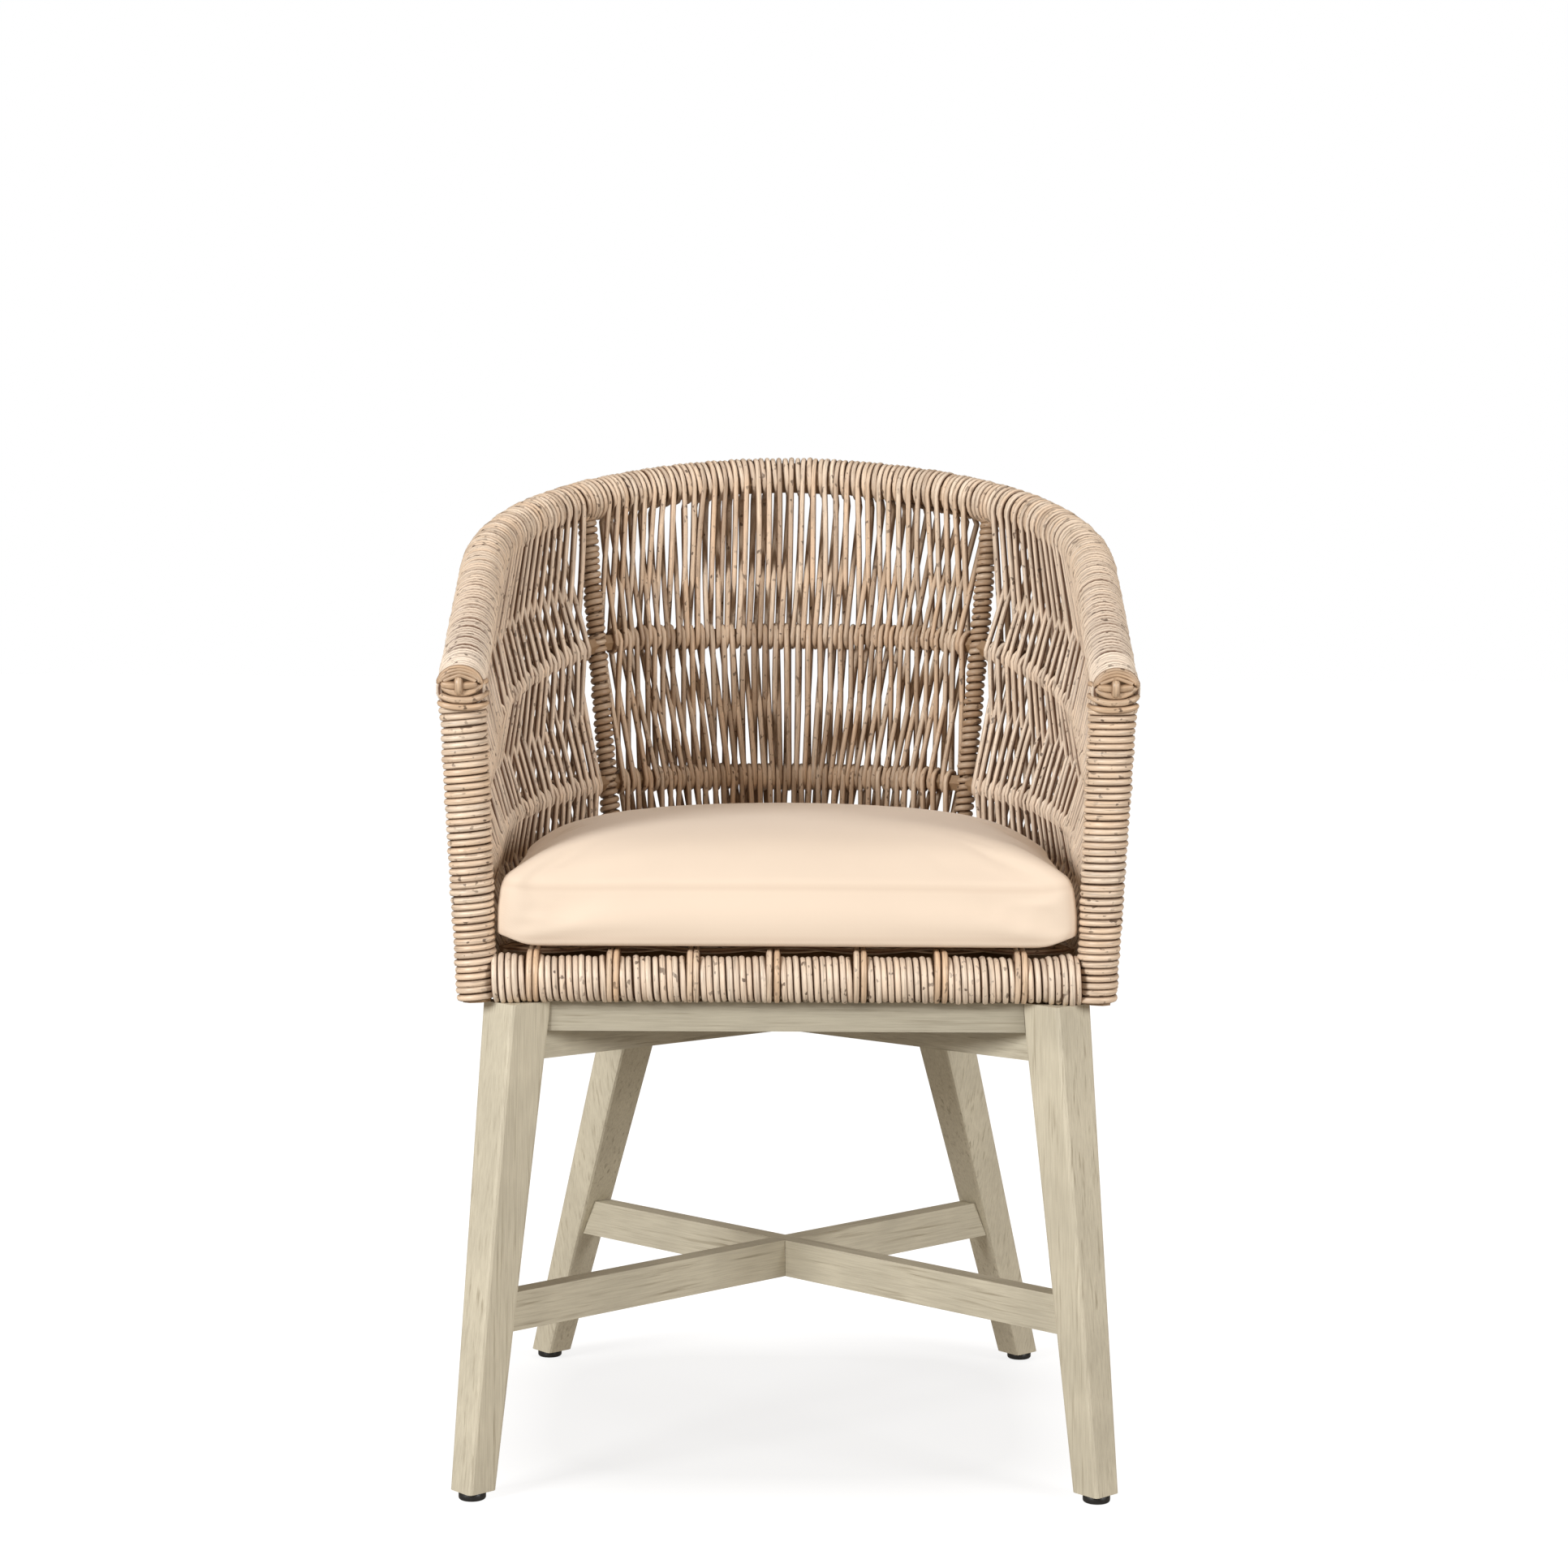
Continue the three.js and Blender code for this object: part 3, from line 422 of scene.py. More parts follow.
def cane_material(name, colours, darkness=0.0):
    """Peeled rattan: a tone for each strand, fine streaks along it, brown stains, dark flecks, and painted
    shade along its flanks.
    """
    n = Nodes(name)
    flow = n.attribute("flow", "Vector")
    tone = n.attribute("tone", "Fac")
    apart = n.add("ShaderNodeCombineXYZ")
    n.put(n.maths("MULTIPLY", tone, 37.0), apart.inputs["Z"])
    place = n.vector("ADD", flow, apart.outputs[0])
    streaks = n.noise(n.vector("MULTIPLY", place, (1.0, 1.0, 9.0)), 5.0, 3.0, 0.6)
    patches = n.noise(n.vector("MULTIPLY", place, (0.5, 0.5, 22.0)), 1.0, 2.0, 0.5)
    flecks = n.noise(n.vector("MULTIPLY", place, (1.6, 1.6, 190.0)), 1.0, 1.0, 0.4)
    palette = n.ramp(
        tone,
        (0.0, rgb(colours.cane_cream)),
        (0.32, rgb(colours.cane_peach)),
        (0.55, rgb(colours.cane_cream)),
        (0.75, rgb(colours.cane_grey)),
        (1.0, rgb(colours.cane_brown_and_shade)),
    )
    base = n.mix(n.ramp(patches, (0.42, 0.0), (0.72, 0.8)), palette, rgb(colours.cane_grey))
    pale_and_lit = n.attribute("pale_and_lit", "Fac")
    # Lightened towards the pale rim cane: partly paler cane, partly painted light on the rim, sides and
    # wraps
    base = n.mix(n.maths("MULTIPLY", pale_and_lit, 0.6), base, rgb(colours.pale_lit_cane))
    base = n.mix(1.0, base, n.ramp(streaks, (0.3, 0.6), (0.5, 0.98), (0.7, 1.16)), "MULTIPLY")
    # Painted shade along each strand's flanks, where it meets its neighbours
    flank = n.ramp(n.maths("ABSOLUTE", n.parts(flow)[0]), (0.25, 0.0), (0.38, 0.4), (0.47, 0.96))
    base = n.mix(flank, base, rgb(colours.painted_crevice_shade))
    # Darker towards brown: the dark wraps' own colour, and on the back strands partly browner cane and
    # partly painted shade
    shade = n.maths("ADD", n.attribute("shade", "Fac"), darkness, True)
    base = n.mix(n.maths("MULTIPLY", shade, 0.85), base, rgb(colours.cane_brown_and_shade))
    specks = n.ramp(flecks, (0.645, 0.0), (0.70, 0.85))
    stain = n.maths("MULTIPLY", specks, n.ramp(patches, (0.4, 0.2), (0.6, 1.0)))
    base = n.mix(stain, base, rgb(colours.cane_stain))
    n.bump(streaks, 0.35, 0.0006)
    return n.finish(base, n.ramp(patches, (0.3, 0.36), (0.8, 0.56)), specular=0.5)


def pole_material(colours):
    """Bare rattan pole: brown with lengthwise mottling."""
    n = Nodes("rattan_pole")
    place = n.place()
    mottle = n.noise(place, 90.0, 4.0, 0.6)
    base = n.mix(n.ramp(mottle, (0.35, 0.0), (0.7, 1.0)), rgb(colours.pole), rgb(colours.cane_brown_and_shade))
    n.bump(mottle, 0.3, 0.0008)
    return n.finish(base, 0.6)


def wood_material(name, colours, turn, upright, shade=1.0):
    """Painted and rubbed wood: brush marks and open grain drawn out along the board."""
    n = Nodes(name)
    place = n.place()
    mapping = n.add("ShaderNodeMapping")
    n.put(place, mapping.inputs["Vector"])
    mapping.inputs["Rotation"].default_value = (0, 0, turn)
    along = (1.0, 1.0, 0.03) if upright else (0.03, 1.0, 1.0)
    drawn = n.vector("MULTIPLY", mapping.outputs[0], along)
    brush = n.noise(drawn, 700.0, 4.0, 0.65)
    grain = n.noise(drawn, 330.0, 3.0, 0.55)
    cloud = n.noise(place, 14.0, 3.0, 0.5)
    base = n.mix(n.ramp(brush, (0.36, 0.0), (0.62, 1.0)), rgb(colours.wood_shade), rgb(colours.wood_light))
    pores = n.ramp(grain, (0.56, 0.0), (0.70, 0.65))
    open_grain = n.maths("MULTIPLY", pores, n.ramp(cloud, (0.35, 0.3), (0.65, 1.0)))
    base = n.mix(open_grain, base, rgb(colours.wood_grain))
    # The shade factor dims the whole board; for the aprons across it is painted shade from the seat above
    # them
    base = n.mix(1.0, base, n.ramp(cloud, (0.3, 0.9 * shade), (0.7, 1.06 * shade)), "MULTIPLY")
    n.bump(n.maths("SUBTRACT", brush, open_grain), 0.4, 0.0007)
    return n.finish(base, n.ramp(brush, (0.3, 0.62), (0.7, 0.5)), specular=0.35)


def cloth_material(colours):
    """Smooth, tightly woven cloth: a fine plain weave and a faint unevenness of the cover."""
    n = Nodes("cushion_cloth")
    place = n.place()
    threads = n.maths("MULTIPLY", n.bands(place, "X", 420.0), n.bands(place, "DIAGONAL", 300.0))
    cloud = n.noise(place, 9.0, 3.0, 0.5)
    base = n.mix(1.0, rgb(colours.cushion), n.ramp(cloud, (0.3, 0.965), (0.7, 1.0)), "MULTIPLY")
    base = n.mix(1.0, base, n.ramp(threads, (0.0, 0.975), (1.0, 1.0)), "MULTIPLY")
    stitches = n.maths("MULTIPLY", n.attribute("seam", "Fac"), 0.2)
    base = n.mix(stitches, base, (0.55, 0.40, 0.29))
    n.bump(n.maths("ADD", n.maths("MULTIPLY", threads, 0.15), cloud), 0.12, 0.002)
    return n.finish(base, 0.78, specular=0.25, sheen=0.15)


def plain_material(name, tint, roughness, metallic=0.0):
    """Moulded plastic or steel: fine scuffs in its colour and roughness."""
    scuffed = tuple(c * 1.35 + 0.004 for c in tint)
    n = Nodes(name)
    place = n.place()
    scuffs = n.noise(place, 260.0, 3.0, 0.6)
    base = n.mix(n.ramp(scuffs, (0.4, 0.0), (0.75, 1.0)), rgb(tint), scuffed)
    n.bump(scuffs, 0.15, 0.0004)
    rough = n.ramp(scuffs, (0.3, roughness - 0.08), (0.7, roughness + 0.1))
    return n.finish(base, rough, metallic=metallic)


def dress(nodes, material, softness=0.0):
    """Give CAD nodes a material, and rounded edges where they are sawn wood."""
    for name in nodes:
        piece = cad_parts[name]
        piece.data.materials.clear()
        piece.data.materials.append(material)
        if softness:
            bevel = piece.modifiers.new("soft_edges", "BEVEL")
            bevel.width = softness
            bevel.segments = 3
            bevel.limit_method = "ANGLE"
            bevel.angle_limit = math.radians(30)
            bevel.use_clamp_overlap = True
            bevel.harden_normals = True


# The weave


def rail_turns(sizes):
    """Half length of the turns round the front rail, their number, and those that are seat warps."""
    half = shell(1 - POST_REACH / level_length(0.0), 0.0)[0] - RAIL_END
    count = round(2 * half / sizes.rail_pitch)
    middles = np.arange(-3, 4) * sizes.warp_pitch - 0.0085
    first = np.round((middles + half) * count / (2 * half)).astype(int) - 1
    return half, count, np.stack([first, first + 1], -1).ravel()


def back_bay(level):
    """From the back centre to an upright."""
    return 0.0, upright_share(level) - UPRIGHT_ROOM / level_length(level)


def side_bay(level):
    """From an upright to an arm end."""
    length = level_length(level)
    return upright_share(level) + UPRIGHT_ROOM / length, 1 - POST_ROOM / length


def bay_share(bay, side, level, place, count):
    """A place in pitches from the bay's inner edge, as a share of the level. Strands of the back bay stand
    on both sides of its inner edge, the back's centre, a little wider apart there than at the uprights."""
    inner, outer = bay(level)
    if inner == 0.0:
        across = np.clip(place / (count + 0.3), -1, 1)
        across = across * (1 + (0.13 - 0.09 * level) * (1 - np.abs(across)))
    else:
        edge = 0.3 + 0.4 * level**3
        across = np.clip((np.maximum(place, 0.25) + edge) / (count + edge + 0.3), 0, 1)
    return side * (inner + (outer - inner) * across)


def weave_batches(bay, side, sizes, seed):
    """The strands of one bay. Each one starts as a turn over the rim and runs down to the seat ring.
    The front strands pass behind the upper hoop and wind round the lower one; the back strands start
    behind them, wind round the upper hoop and pass behind the lower one. Below the upper hoop each
    strand that passed behind crosses over its neighbour towards the back centre."""
    rng = np.random.default_rng(seed)
    inner, outer = bay(1.0)
    centred = inner == 0.0
    count = round((outer - inner) * level_length(1.0) / sizes.strand_pitch)
    radius = sizes.strand_diameter / 2
    i = np.arange(-count if centred else 0, count, dtype=float)
    steady = 1 - smooth((np.abs(i) / count - 0.8) / 0.2)
    lean = np.sign(i + 0.5) * (1 - np.exp(-np.abs(i) / 4)) * steady
    rim_reach = RIM_POLE + radius
    ring_reach = RAIL_POLE + PLAY + radius
    hoop_reach = HOOP_POLE + PLAY + radius - 0.0002
    behind = hoop_reach + 0.0024

    def jitter(scale=1.0):
        return rng.normal(0, sizes.unevenness * scale, len(i))

    def stray(scale):
        """Places in pitches: each strand strays by itself, and with the strands near it."""
        spots = np.arange(0, len(i) + 7, 7)
        slow = np.interp(np.arange(len(i)), spots, rng.normal(0, 1, len(spots)))
        return (jitter() + 0.8 * sizes.unevenness * slow) * scale / sizes.strand_pitch

    def at(level, place, reach, rise):
        return beside(bay_share(bay, side, level, place, count), level, reach, rise)

    def turn(level, places, reach, angles):
        share = bay_share(bay, side, level, places, count)
        return beside(share, level, reach * np.cos(angles), reach * np.sin(angles))

    def bow():
        along, outward, _ = shell_frame(bay_share(bay, side, UPPER_HOOP, i, count), UPPER_HOOP)
        return (along * jitter(2.2)[:, None] + outward * jitter(1.6)[:, None])[:, None]

    def loop(level, place):
        """Round a hoop from its front, under it, up behind it and over it, half a pitch outward."""
        theta = np.linspace(0, 2 * math.pi, 13)
        drift = 0.5 * smooth((theta - math.pi / 2) / math.pi)
        reach = hoop_reach + jitter(0.8)[:, None]
        share = bay_share(bay, side, level, place[:, None] + drift, count)
        return beside(share, level, -reach * np.cos(theta), -reach * np.sin(theta))

    def strands(*parts):
        """Whole strands: their parts, joined by runs of 7, 6 and 6 points."""
        path = [parts[0]]
        for points, part in zip((7, 6, 6), parts[1:]):
            path += [line(path[-1][:, -1], part[:, 0], points, bow()), part]
        return np.concatenate(path, 1)

    # Front strands
    start = i + 0.25 + stray(0.7)
    rim_angle = np.radians(np.linspace(-60, 191, 16))
    over_rim = turn(1.0, start[:, None], rim_reach + jitter(0.5)[:, None], rim_angle)
    upper = at(UPPER_HOOP, i + 0.1 + stray(1.6), behind + jitter(0.8), jitter())
    wound = loop(LOWER_HOOP, i + 0.1 - 1.25 * lean + stray(1.6))
    ring_angle = np.radians(np.linspace(8, -55, 5))
    foot = i + 0.6 - 1.52 * lean + stray(1.4)
    into_ring = turn(0.0, foot[:, None], ring_reach, ring_angle)
    front = strands(over_rim, upper[:, None], wound, into_ring)
    # Back strands
    rim_angle = np.radians(np.linspace(-60, 285, 20))
    drift = 0.75 + 0.3 * smooth((np.linspace(0, 1, 20) - 0.5) / 0.5)
    places = np.minimum(i[:, None] + drift + stray(0.7)[:, None], count + 0.1)
    under_rim = turn(1.0, places, rim_reach + jitter(0.5)[:, None], rim_angle)
    below = at(1.0, places[:, -1], rim_reach * 0.66, np.full(len(i), -rim_reach * 1.45))
    wound_high = loop(UPPER_HOOP, i + 0.35 + stray(1.6))
    lower = at(LOWER_HOOP, i + 0.85 - 0.28 * lean + stray(1.6), behind + jitter(0.8), jitter())
    ring_angle = np.radians(np.linspace(172, 235, 5))
    foot = i + 0.85 - 1.53 * lean + stray(1.4)
    inside_ring = turn(0.0, foot[:, None], ring_reach, ring_angle)
    under_rim = np.concatenate([under_rim, below[:, None]], 1)
    back = strands(under_rim, wound_high, lower[:, None], inside_ring)
    reference = shell_frame(bay_share(bay, side, UPPER_HOOP, i, count), UPPER_HOOP)[0][:, None]
    # Paler towards the arm ends: partly paler cane, partly painted light. Darker under the rim, where back
    # strands pass, and lower down the back: partly browner cane, partly painted shade
    rim_pale_and_lit = np.full(len(i), 0.6) if centred else 0.45 + 1.2 * (i / count) ** 2
    wall_pale_and_lit = 0.15 if centred else 1.05
    batches = []
    for path, rim_points in ((front, 16), (back, 20)):
        step = np.arange(path.shape[1])
        on_rim = 1 - smooth((step[None] - rim_points + 4) / 4)
        shade = 0.7 * smooth((step - 15) / 3) * (1 - smooth((step - 22) / 4)) * (path is back)
        if centred:
            shade = shade + 0.27 * smooth((step - 24) / 4) + 0.38 * smooth((step - 42) / 6)
        wave = 1 + 0.04 * np.sin(step / 3 + rng.uniform(0, 6, (len(i), 1))) - 0.05 * on_rim
        batches.append(
            {
                "path": path,
                "radius": radius * rng.uniform(0.93, 1.06, (len(i), 1)) * wave,
                "reference": reference,
                "tone": rng.beta(1.1, 1.5, len(i)),
                "shade": shade[None],
                "pale_and_lit": on_rim * rim_pale_and_lit[:, None] + (1 - on_rim) * wall_pale_and_lit,
            }
        )
    return batches


def turns_round(
    route, outward, count, reach, radius, seed, ends=(0.0, 1.0), start=0.0, tones=(0.1, 0.7), alike=0.0,
    stray=0.0003, pale_and_lit=0.0, points=25,
):
    """Separate turns round a route, each one pitch long and taking over where the last one ended."""
    rng = np.random.default_rng(seed)
    spot = np.linspace(0, 1, len(route))
    tangent = unit(np.gradient(route, axis=0))
    normal = unit(outward - (outward * tangent).sum(-1, keepdims=True) * tangent)
    binormal = np.cross(tangent, normal)
    turn = np.arange(count)[:, None] + np.linspace(0, 1, points)
    s = ends[0] + (ends[1] - ends[0]) * turn / count
    angle = start + 2 * math.pi * turn

    def along(values):
        return np.stack([np.interp(s, spot, values[:, k]) for k in range(3)], -1)

    reach = np.broadcast_to(reach, (count,)) + rng.normal(0, stray, count)
    radial = along(normal) * np.cos(angle)[..., None] + along(binormal) * np.sin(angle)[..., None]
    slip = rng.normal(0, stray, (count, 1)) * np.sin(np.linspace(0, math.pi, points))
    path = along(route) + radial * reach[:, None, None] + along(tangent) * slip[..., None]
    tone = rng.uniform(*tones, count)
    spots = np.arange(0, count + 6, 6)
    slow = np.interp(np.arange(count), spots, rng.uniform(*tones, len(spots)))
    return {
        "path": path,
        "radius": radius * rng.uniform(0.96, 1.05, (count, 1)),
        "reference": along(tangent),
        "tone": tone * (1 - alike) + slow * alike,
        "pale_and_lit": pale_and_lit,
    }


class TUBCHAIR_OT_weave(bpy.types.Operator):
    """Weave the back and the sides, from turns over the rim down to the seat ring"""

    bl_idname = "tubchair.weave"
    bl_label = "Weave"

    def execute(self, context):
        sizes, colours = context.scene.tub_chair_sizes, context.scene.tub_chair_colours
        cane = cane_material("cane", colours)
        strand_piece("weave_back", weave_batches(back_bay, 1, sizes, 11), ["woven_back"], cane)
        for name, side, seed in (("left", -1, 21), ("right", 1, 22)):
            batches = weave_batches(side_bay, side, sizes, seed)
            replaced = ["woven_corner_" + name, "woven_arm_" + name]
            strand_piece("weave_" + name, batches, replaced, cane)
        return {"FINISHED"}


class TUBCHAIR_OT_wraps(bpy.types.Operator):
    """Wind the strands round the rim's gaps, posts, uprights, front rail and seat ring"""

    bl_idname = "tubchair.wraps"
    bl_label = "Wraps"

    def execute(self, context):
        sizes, colours = context.scene.tub_chair_sizes, context.scene.tub_chair_colours
        cane = bpy.data.materials["cane"]
        dark = cane_material("dark_cane", colours, 0.5)
        radius = sizes.strand_diameter / 2
        self.rim(sizes, radius, cane)
        self.posts(sizes, radius, cane)
        self.rails(sizes, radius, cane)
        self.uprights(sizes, dark)
        return {"FINISHED"}

    def rim(self, sizes, radius, cane):
        """Turns over the uprights' tops and at the arm ends, where the weave has none."""
        length = level_length(1.0)
        share = np.linspace(-1, 1, 801)
        route = shell(share, 1.0)
        square = shell_frame(share, 1.0)[1]
        batches = []
        for side, seed in ((-1, 31), (1, 32)):
            middle = side * UPRIGHT_RIM_SHARE
            room = (UPRIGHT_ROOM + 0.001) / length
            # Each span ends with how much its turns are lightened: partly paler cane, partly painted light
            spans = [
                (middle - side * room, middle + side * (room + 0.0046 / length), 5, 0.5),
                (side * (1 - POST_ROOM / length), side * 1.0, round(POST_ROOM / 0.0051), 1.65),
            ]
            for inner, outer, count, pale_and_lit in spans:
                ends = tuple(sorted(((inner + 1) / 2, (outer + 1) / 2)))
                reach = RIM_POLE + radius
                batches.append(
                    turns_round(route, square, count, reach, radius, seed + count, ends, -1.2, pale_and_lit=pale_and_lit)
                )
        strand_piece("rim_turns", batches, ["top_rim_wrap"], cane)

    def posts(self, sizes, radius, cane):
        """A strand wound up each front post. Its last three turns, wider and browner, pass in front of the
        arm's end and go up beside it."""
        for name, side, seed in (("left", -1, 41), ("right", 1, 42)):
            foot, head = (shell(side * (1 - POST_REACH / level_length(t)), t) for t in (0.0, 1.0))
            foot[2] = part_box("front_post_wrap_" + name)[0][2] + radius
            lean = (head - foot) / (head[2] - foot[2])
            head = foot + lean * (ARM_END_LOW - foot[2])
            share = np.linspace(0, 1, 60)[:, None]
            count = round((head[2] - foot[2]) / sizes.post_pitch)
            step = np.arange(count)
            reach = POST_POLE_FOOT + (RIM_POLE - POST_POLE_FOOT) * step / count + PLAY + radius
            route = foot + (head - foot) * share
            # Lightened wraps: partly paler cane, partly painted light
            batch = turns_round(route, BACKWARD, count, reach, radius * 1.04, seed, alike=0.6, pale_and_lit=0.5)
            angle = np.radians(np.linspace(-112, 112, 33))
            swing = np.abs(np.sin(angle)) ** 2.5
            ahead = 0.0219 * np.sign(np.cos(angle)) * np.abs(np.cos(angle)) ** 0.3
            arcs = []
            places = ((-0.0014, 0.0026, 0.0180), (0.0044, 0.0048, 0.0182), (0.0102, 0.0092, 0.0179))
            for up, lift, wide in places:
                x = foot[0] + lean[0] * (head[2] + up - foot[2]) + wide * np.sin(angle)
                z = head[2] + up + lift * swing + 0.0006 * side * np.sin(angle)
                arcs.append(np.stack([x, POST_Y - ahead, z], -1))
            arcs = np.array(arcs)
            over = {
                "path": arcs,
                "radius": np.array([[0.0029], [0.0031], [0.0031]]) * (1 - 0.25 * swing**3),
                "reference": np.array([0.0, 0.0, 1.0]),
                "tone": np.array([0.30, 0.42, 0.34]),
                "shade": np.array([0.22, 0.30, 0.18]),
            }
            replaced = ["front_post_wrap_" + name]
            strand_piece("post_turns_" + name, [batch, over], replaced, cane)

    def rails(self, sizes, radius, cane):
        """Turns round the front rail with pairs of seat warps over them, and round the seat ring."""
        half, count, warps = rail_turns(sizes)
        route = spread(np.linspace(-half, half, 40), POST_Y, RING_HEIGHT)
        reach = RAIL_POLE + PLAY + radius
        step = np.arange(count)
        from_end = np.minimum(step, count - 1 - step)
        piled = 0.0026 * np.exp(-((from_end - 1.2) ** 2) / 3)
        # Lightened wraps: partly paler cane, partly painted light
        batch = turns_round(
            route, BACKWARD, count, reach + piled, radius, 51, tones=(0.0, 0.85), stray=0.0004, pale_and_lit=0.9
        )
        kept = np.setdiff1d(step, warps)
        batch.update({key: batch[key][kept] for key in ("path", "radius", "reference", "tone")})
        strand_piece("rail_turns", [batch], ["front_seat_rail_wrap"], cane)
        reached = 0.965
        share = np.linspace(-reached, reached, 500)
        route = shell(share, 0.0)
        count = round(2 * level_length(0.0) * reached / sizes.rail_pitch)
        batch = turns_round(route, shell_frame(share, 0.0)[1], count, reach, radius * 1.06, 52, points=21)
        strand_piece("ring_turns", [batch], ["seat_ring_wrap"], cane)

    def uprights(self, sizes, dark):
        """A dark strand wound round each back upright."""
        level = np.linspace(0.02, 0.975, 30)
        for name, side, seed in (("left", -1, 61), ("right", 1, 62)):
            route = np.array([shell(side * upright_share(t), t) for t in level])
            outward = np.array([shell_frame(side * upright_share(t), t)[1] for t in level])
            length = np.linalg.norm(np.diff(route, axis=0), axis=1).sum()
            count = round(length / sizes.upright_pitch)
            reach, radius = UPRIGHT_POLE + PLAY + 0.0016, sizes.upright_pitch * 0.47
            batch = turns_round(
                route, outward, count, reach, radius, seed, tones=(0.5, 0.95), alike=0.3, stray=0.0004,
                points=21,
            )
            replaced = ["back_upright_wrap_" + name]
            strand_piece("upright_turns_" + name, [batch], replaced, dark)


class TUBCHAIR_OT_arm_ends(bpy.types.Operator):
    """Close the arm ends with arcs of strand and a knot"""

    bl_idname = "tubchair.arm_ends"
    bl_label = "Arm Ends"

    def execute(self, context):
        dark = bpy.data.materials["dark_cane"]
        for name, side, seed in (("left", -1, 71), ("right", 1, 72)):
            self.face(name, float(side), seed, dark)
        return {"FINISHED"}

    def face(self, name, side, seed, dark):
        """Arcs one inside the other, flatter and more peaked inwards, over a cross strand whose middle is
        tied down by a short strand."""
        rng = np.random.default_rng(seed)
        end = shell(np.array(side), 1.0)
        ahead = unit(end - shell(np.array(side * (1 - 2 * PROBE)), 1.0))
        across = np.array([1.0, 0.0, 0.0])
        upward = unit(np.cross(ahead, across))
        batches = []

        def add(x, out, rise, radius, tone):
            path = end + x[:, None] * across + out[:, None] * ahead + (rise + 0.0020)[:, None] * upward
            flank = unit(np.cross(np.gradient(path, axis=0), ahead))
            tones = np.array([tone])
            batches.append({"path": path[None], "radius": radius, "reference": flank, "tone": tones})

        t = np.linspace(0, math.pi, 33)
        # Reach, top and radius in millimetres, and how peaked each arc is
        outer_arcs = ((17.7, 17.6, 1.5, 0.0), (16.6, 15.5, 1.5, 0.1))
        arcs = (*outer_arcs, (15.4, 13.3, 1.5, 0.3), (12.6, 10.7, 1.9, 0.9))
        for k, (reach, top, thick, peak) in enumerate(arcs):
            bend = (1 - peak) * np.sin(t) + peak * (1 - np.abs(np.cos(t))) ** 0.85
            out = 0.0006 + 0.0005 * k + 0 * t
            low = 2.0 + 1.2 * k
            rise = (low + (top - low) * bend) / 1000
            add(-reach / 1000 * np.cos(t), out, rise, thick / 1000, rng.uniform(0.25, 0.5))
        t = np.linspace(-1, 1, 25)
        thin = (1 - t**4) ** 0.5
        rise = 0.0025 + 0.0006 * t**2
        add(0.0148 * t - 0.0008, 0.0034 - 0.0014 * t**2, rise, 0.0014 + 0.0021 * thin, 0.3)
        add(0 * t - 0.0008, 0.0032 + 0.0030 * (1 - t**2) ** 0.5, 0.0047 * t + 0.0026, 0.0036, 0.4)
        strand_piece("arm_end_" + name, batches, ["arm_end_knot_" + name], dark, 12)


class TUBCHAIR_OT_seat(bpy.types.Operator):
    """Weave the seat under the cushion"""

    bl_idname = "tubchair.seat"
    bl_label = "Seat"

    def execute(self, context):
        sizes = context.scene.tub_chair_sizes
        low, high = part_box("woven_seat_deck")
        cane = bpy.data.materials["cane"]
        rng = np.random.default_rng(81)
        middle = (low[2] + high[2]) / 2
        inset = RAIL_POLE + 0.0056
        half, deep = RING_HALF - inset - 0.003, RING_BACK - inset - ARCH_START
        # Wefts from side to side, over one pair of warps and under the next
        y = np.arange(low[1] + 0.001, high[1] - 0.004, 0.0055)
        behind = np.clip((y - SHIFT_Y - ARCH_START) / deep, 0, 0.999)
        reach = half * np.sqrt(1 - behind**2)
        t = np.linspace(-1, 1, 61)
        x = t * reach[:, None]
        phase = np.arange(len(y))[:, None] * math.pi
        z = middle + 0.0023 * np.cos(math.pi * x / sizes.warp_pitch + phase)
        z = z + rng.normal(0, 0.0003, (len(y), 1))
        wefts = spread(x, y[:, None], z)
        # Warps from the front rail to the back, in pairs
        half_rail, turns, warps = rail_turns(sizes)
        x = (2 * (warps + 0.5) / turns - 1) * half_rail
        back = SHIFT_Y + ARCH_START + deep * np.sqrt(1 - np.clip(x / half, -0.99, 0.99) ** 2)
        flat = np.linspace(0, 1, 12)
        path_y = POST_Y + 0.021 + (back[:, None] - POST_Y - 0.021) * flat
        run = spread(x[:, None], path_y, middle)
        angle = np.radians(np.linspace(285, 20, 16))
        lift = RAIL_POLE + 0.0035 + 0.0048 * np.clip(np.sin(angle), 0, 1) ** 2
        over_y, over_z = POST_Y + lift * np.cos(angle), RING_HEIGHT + lift * np.sin(angle)
        over = spread(x[:, None], over_y, over_z)
        over[..., 0] += rng.normal(0, 0.0004, (len(x), 1))
        warp_tones = rng.uniform(0.1, 0.7, len(x))
        radius = sizes.strand_diameter / 2
        batches = [
            {
                "path": wefts,
                "radius": radius * 0.84,
                "reference": BACKWARD,
                "tone": rng.uniform(0.3, 1.0, len(y)),
            },
            {
                "path": np.concatenate([over, run], 1),
                "radius": radius * 1.02,
                "reference": np.array([1.0, 0.0, 0.0]),
                "tone": warp_tones,
            },
        ]
        strand_piece("seat_weave", batches, ["woven_seat_deck"], cane, 6)
        return {"FINISHED"}


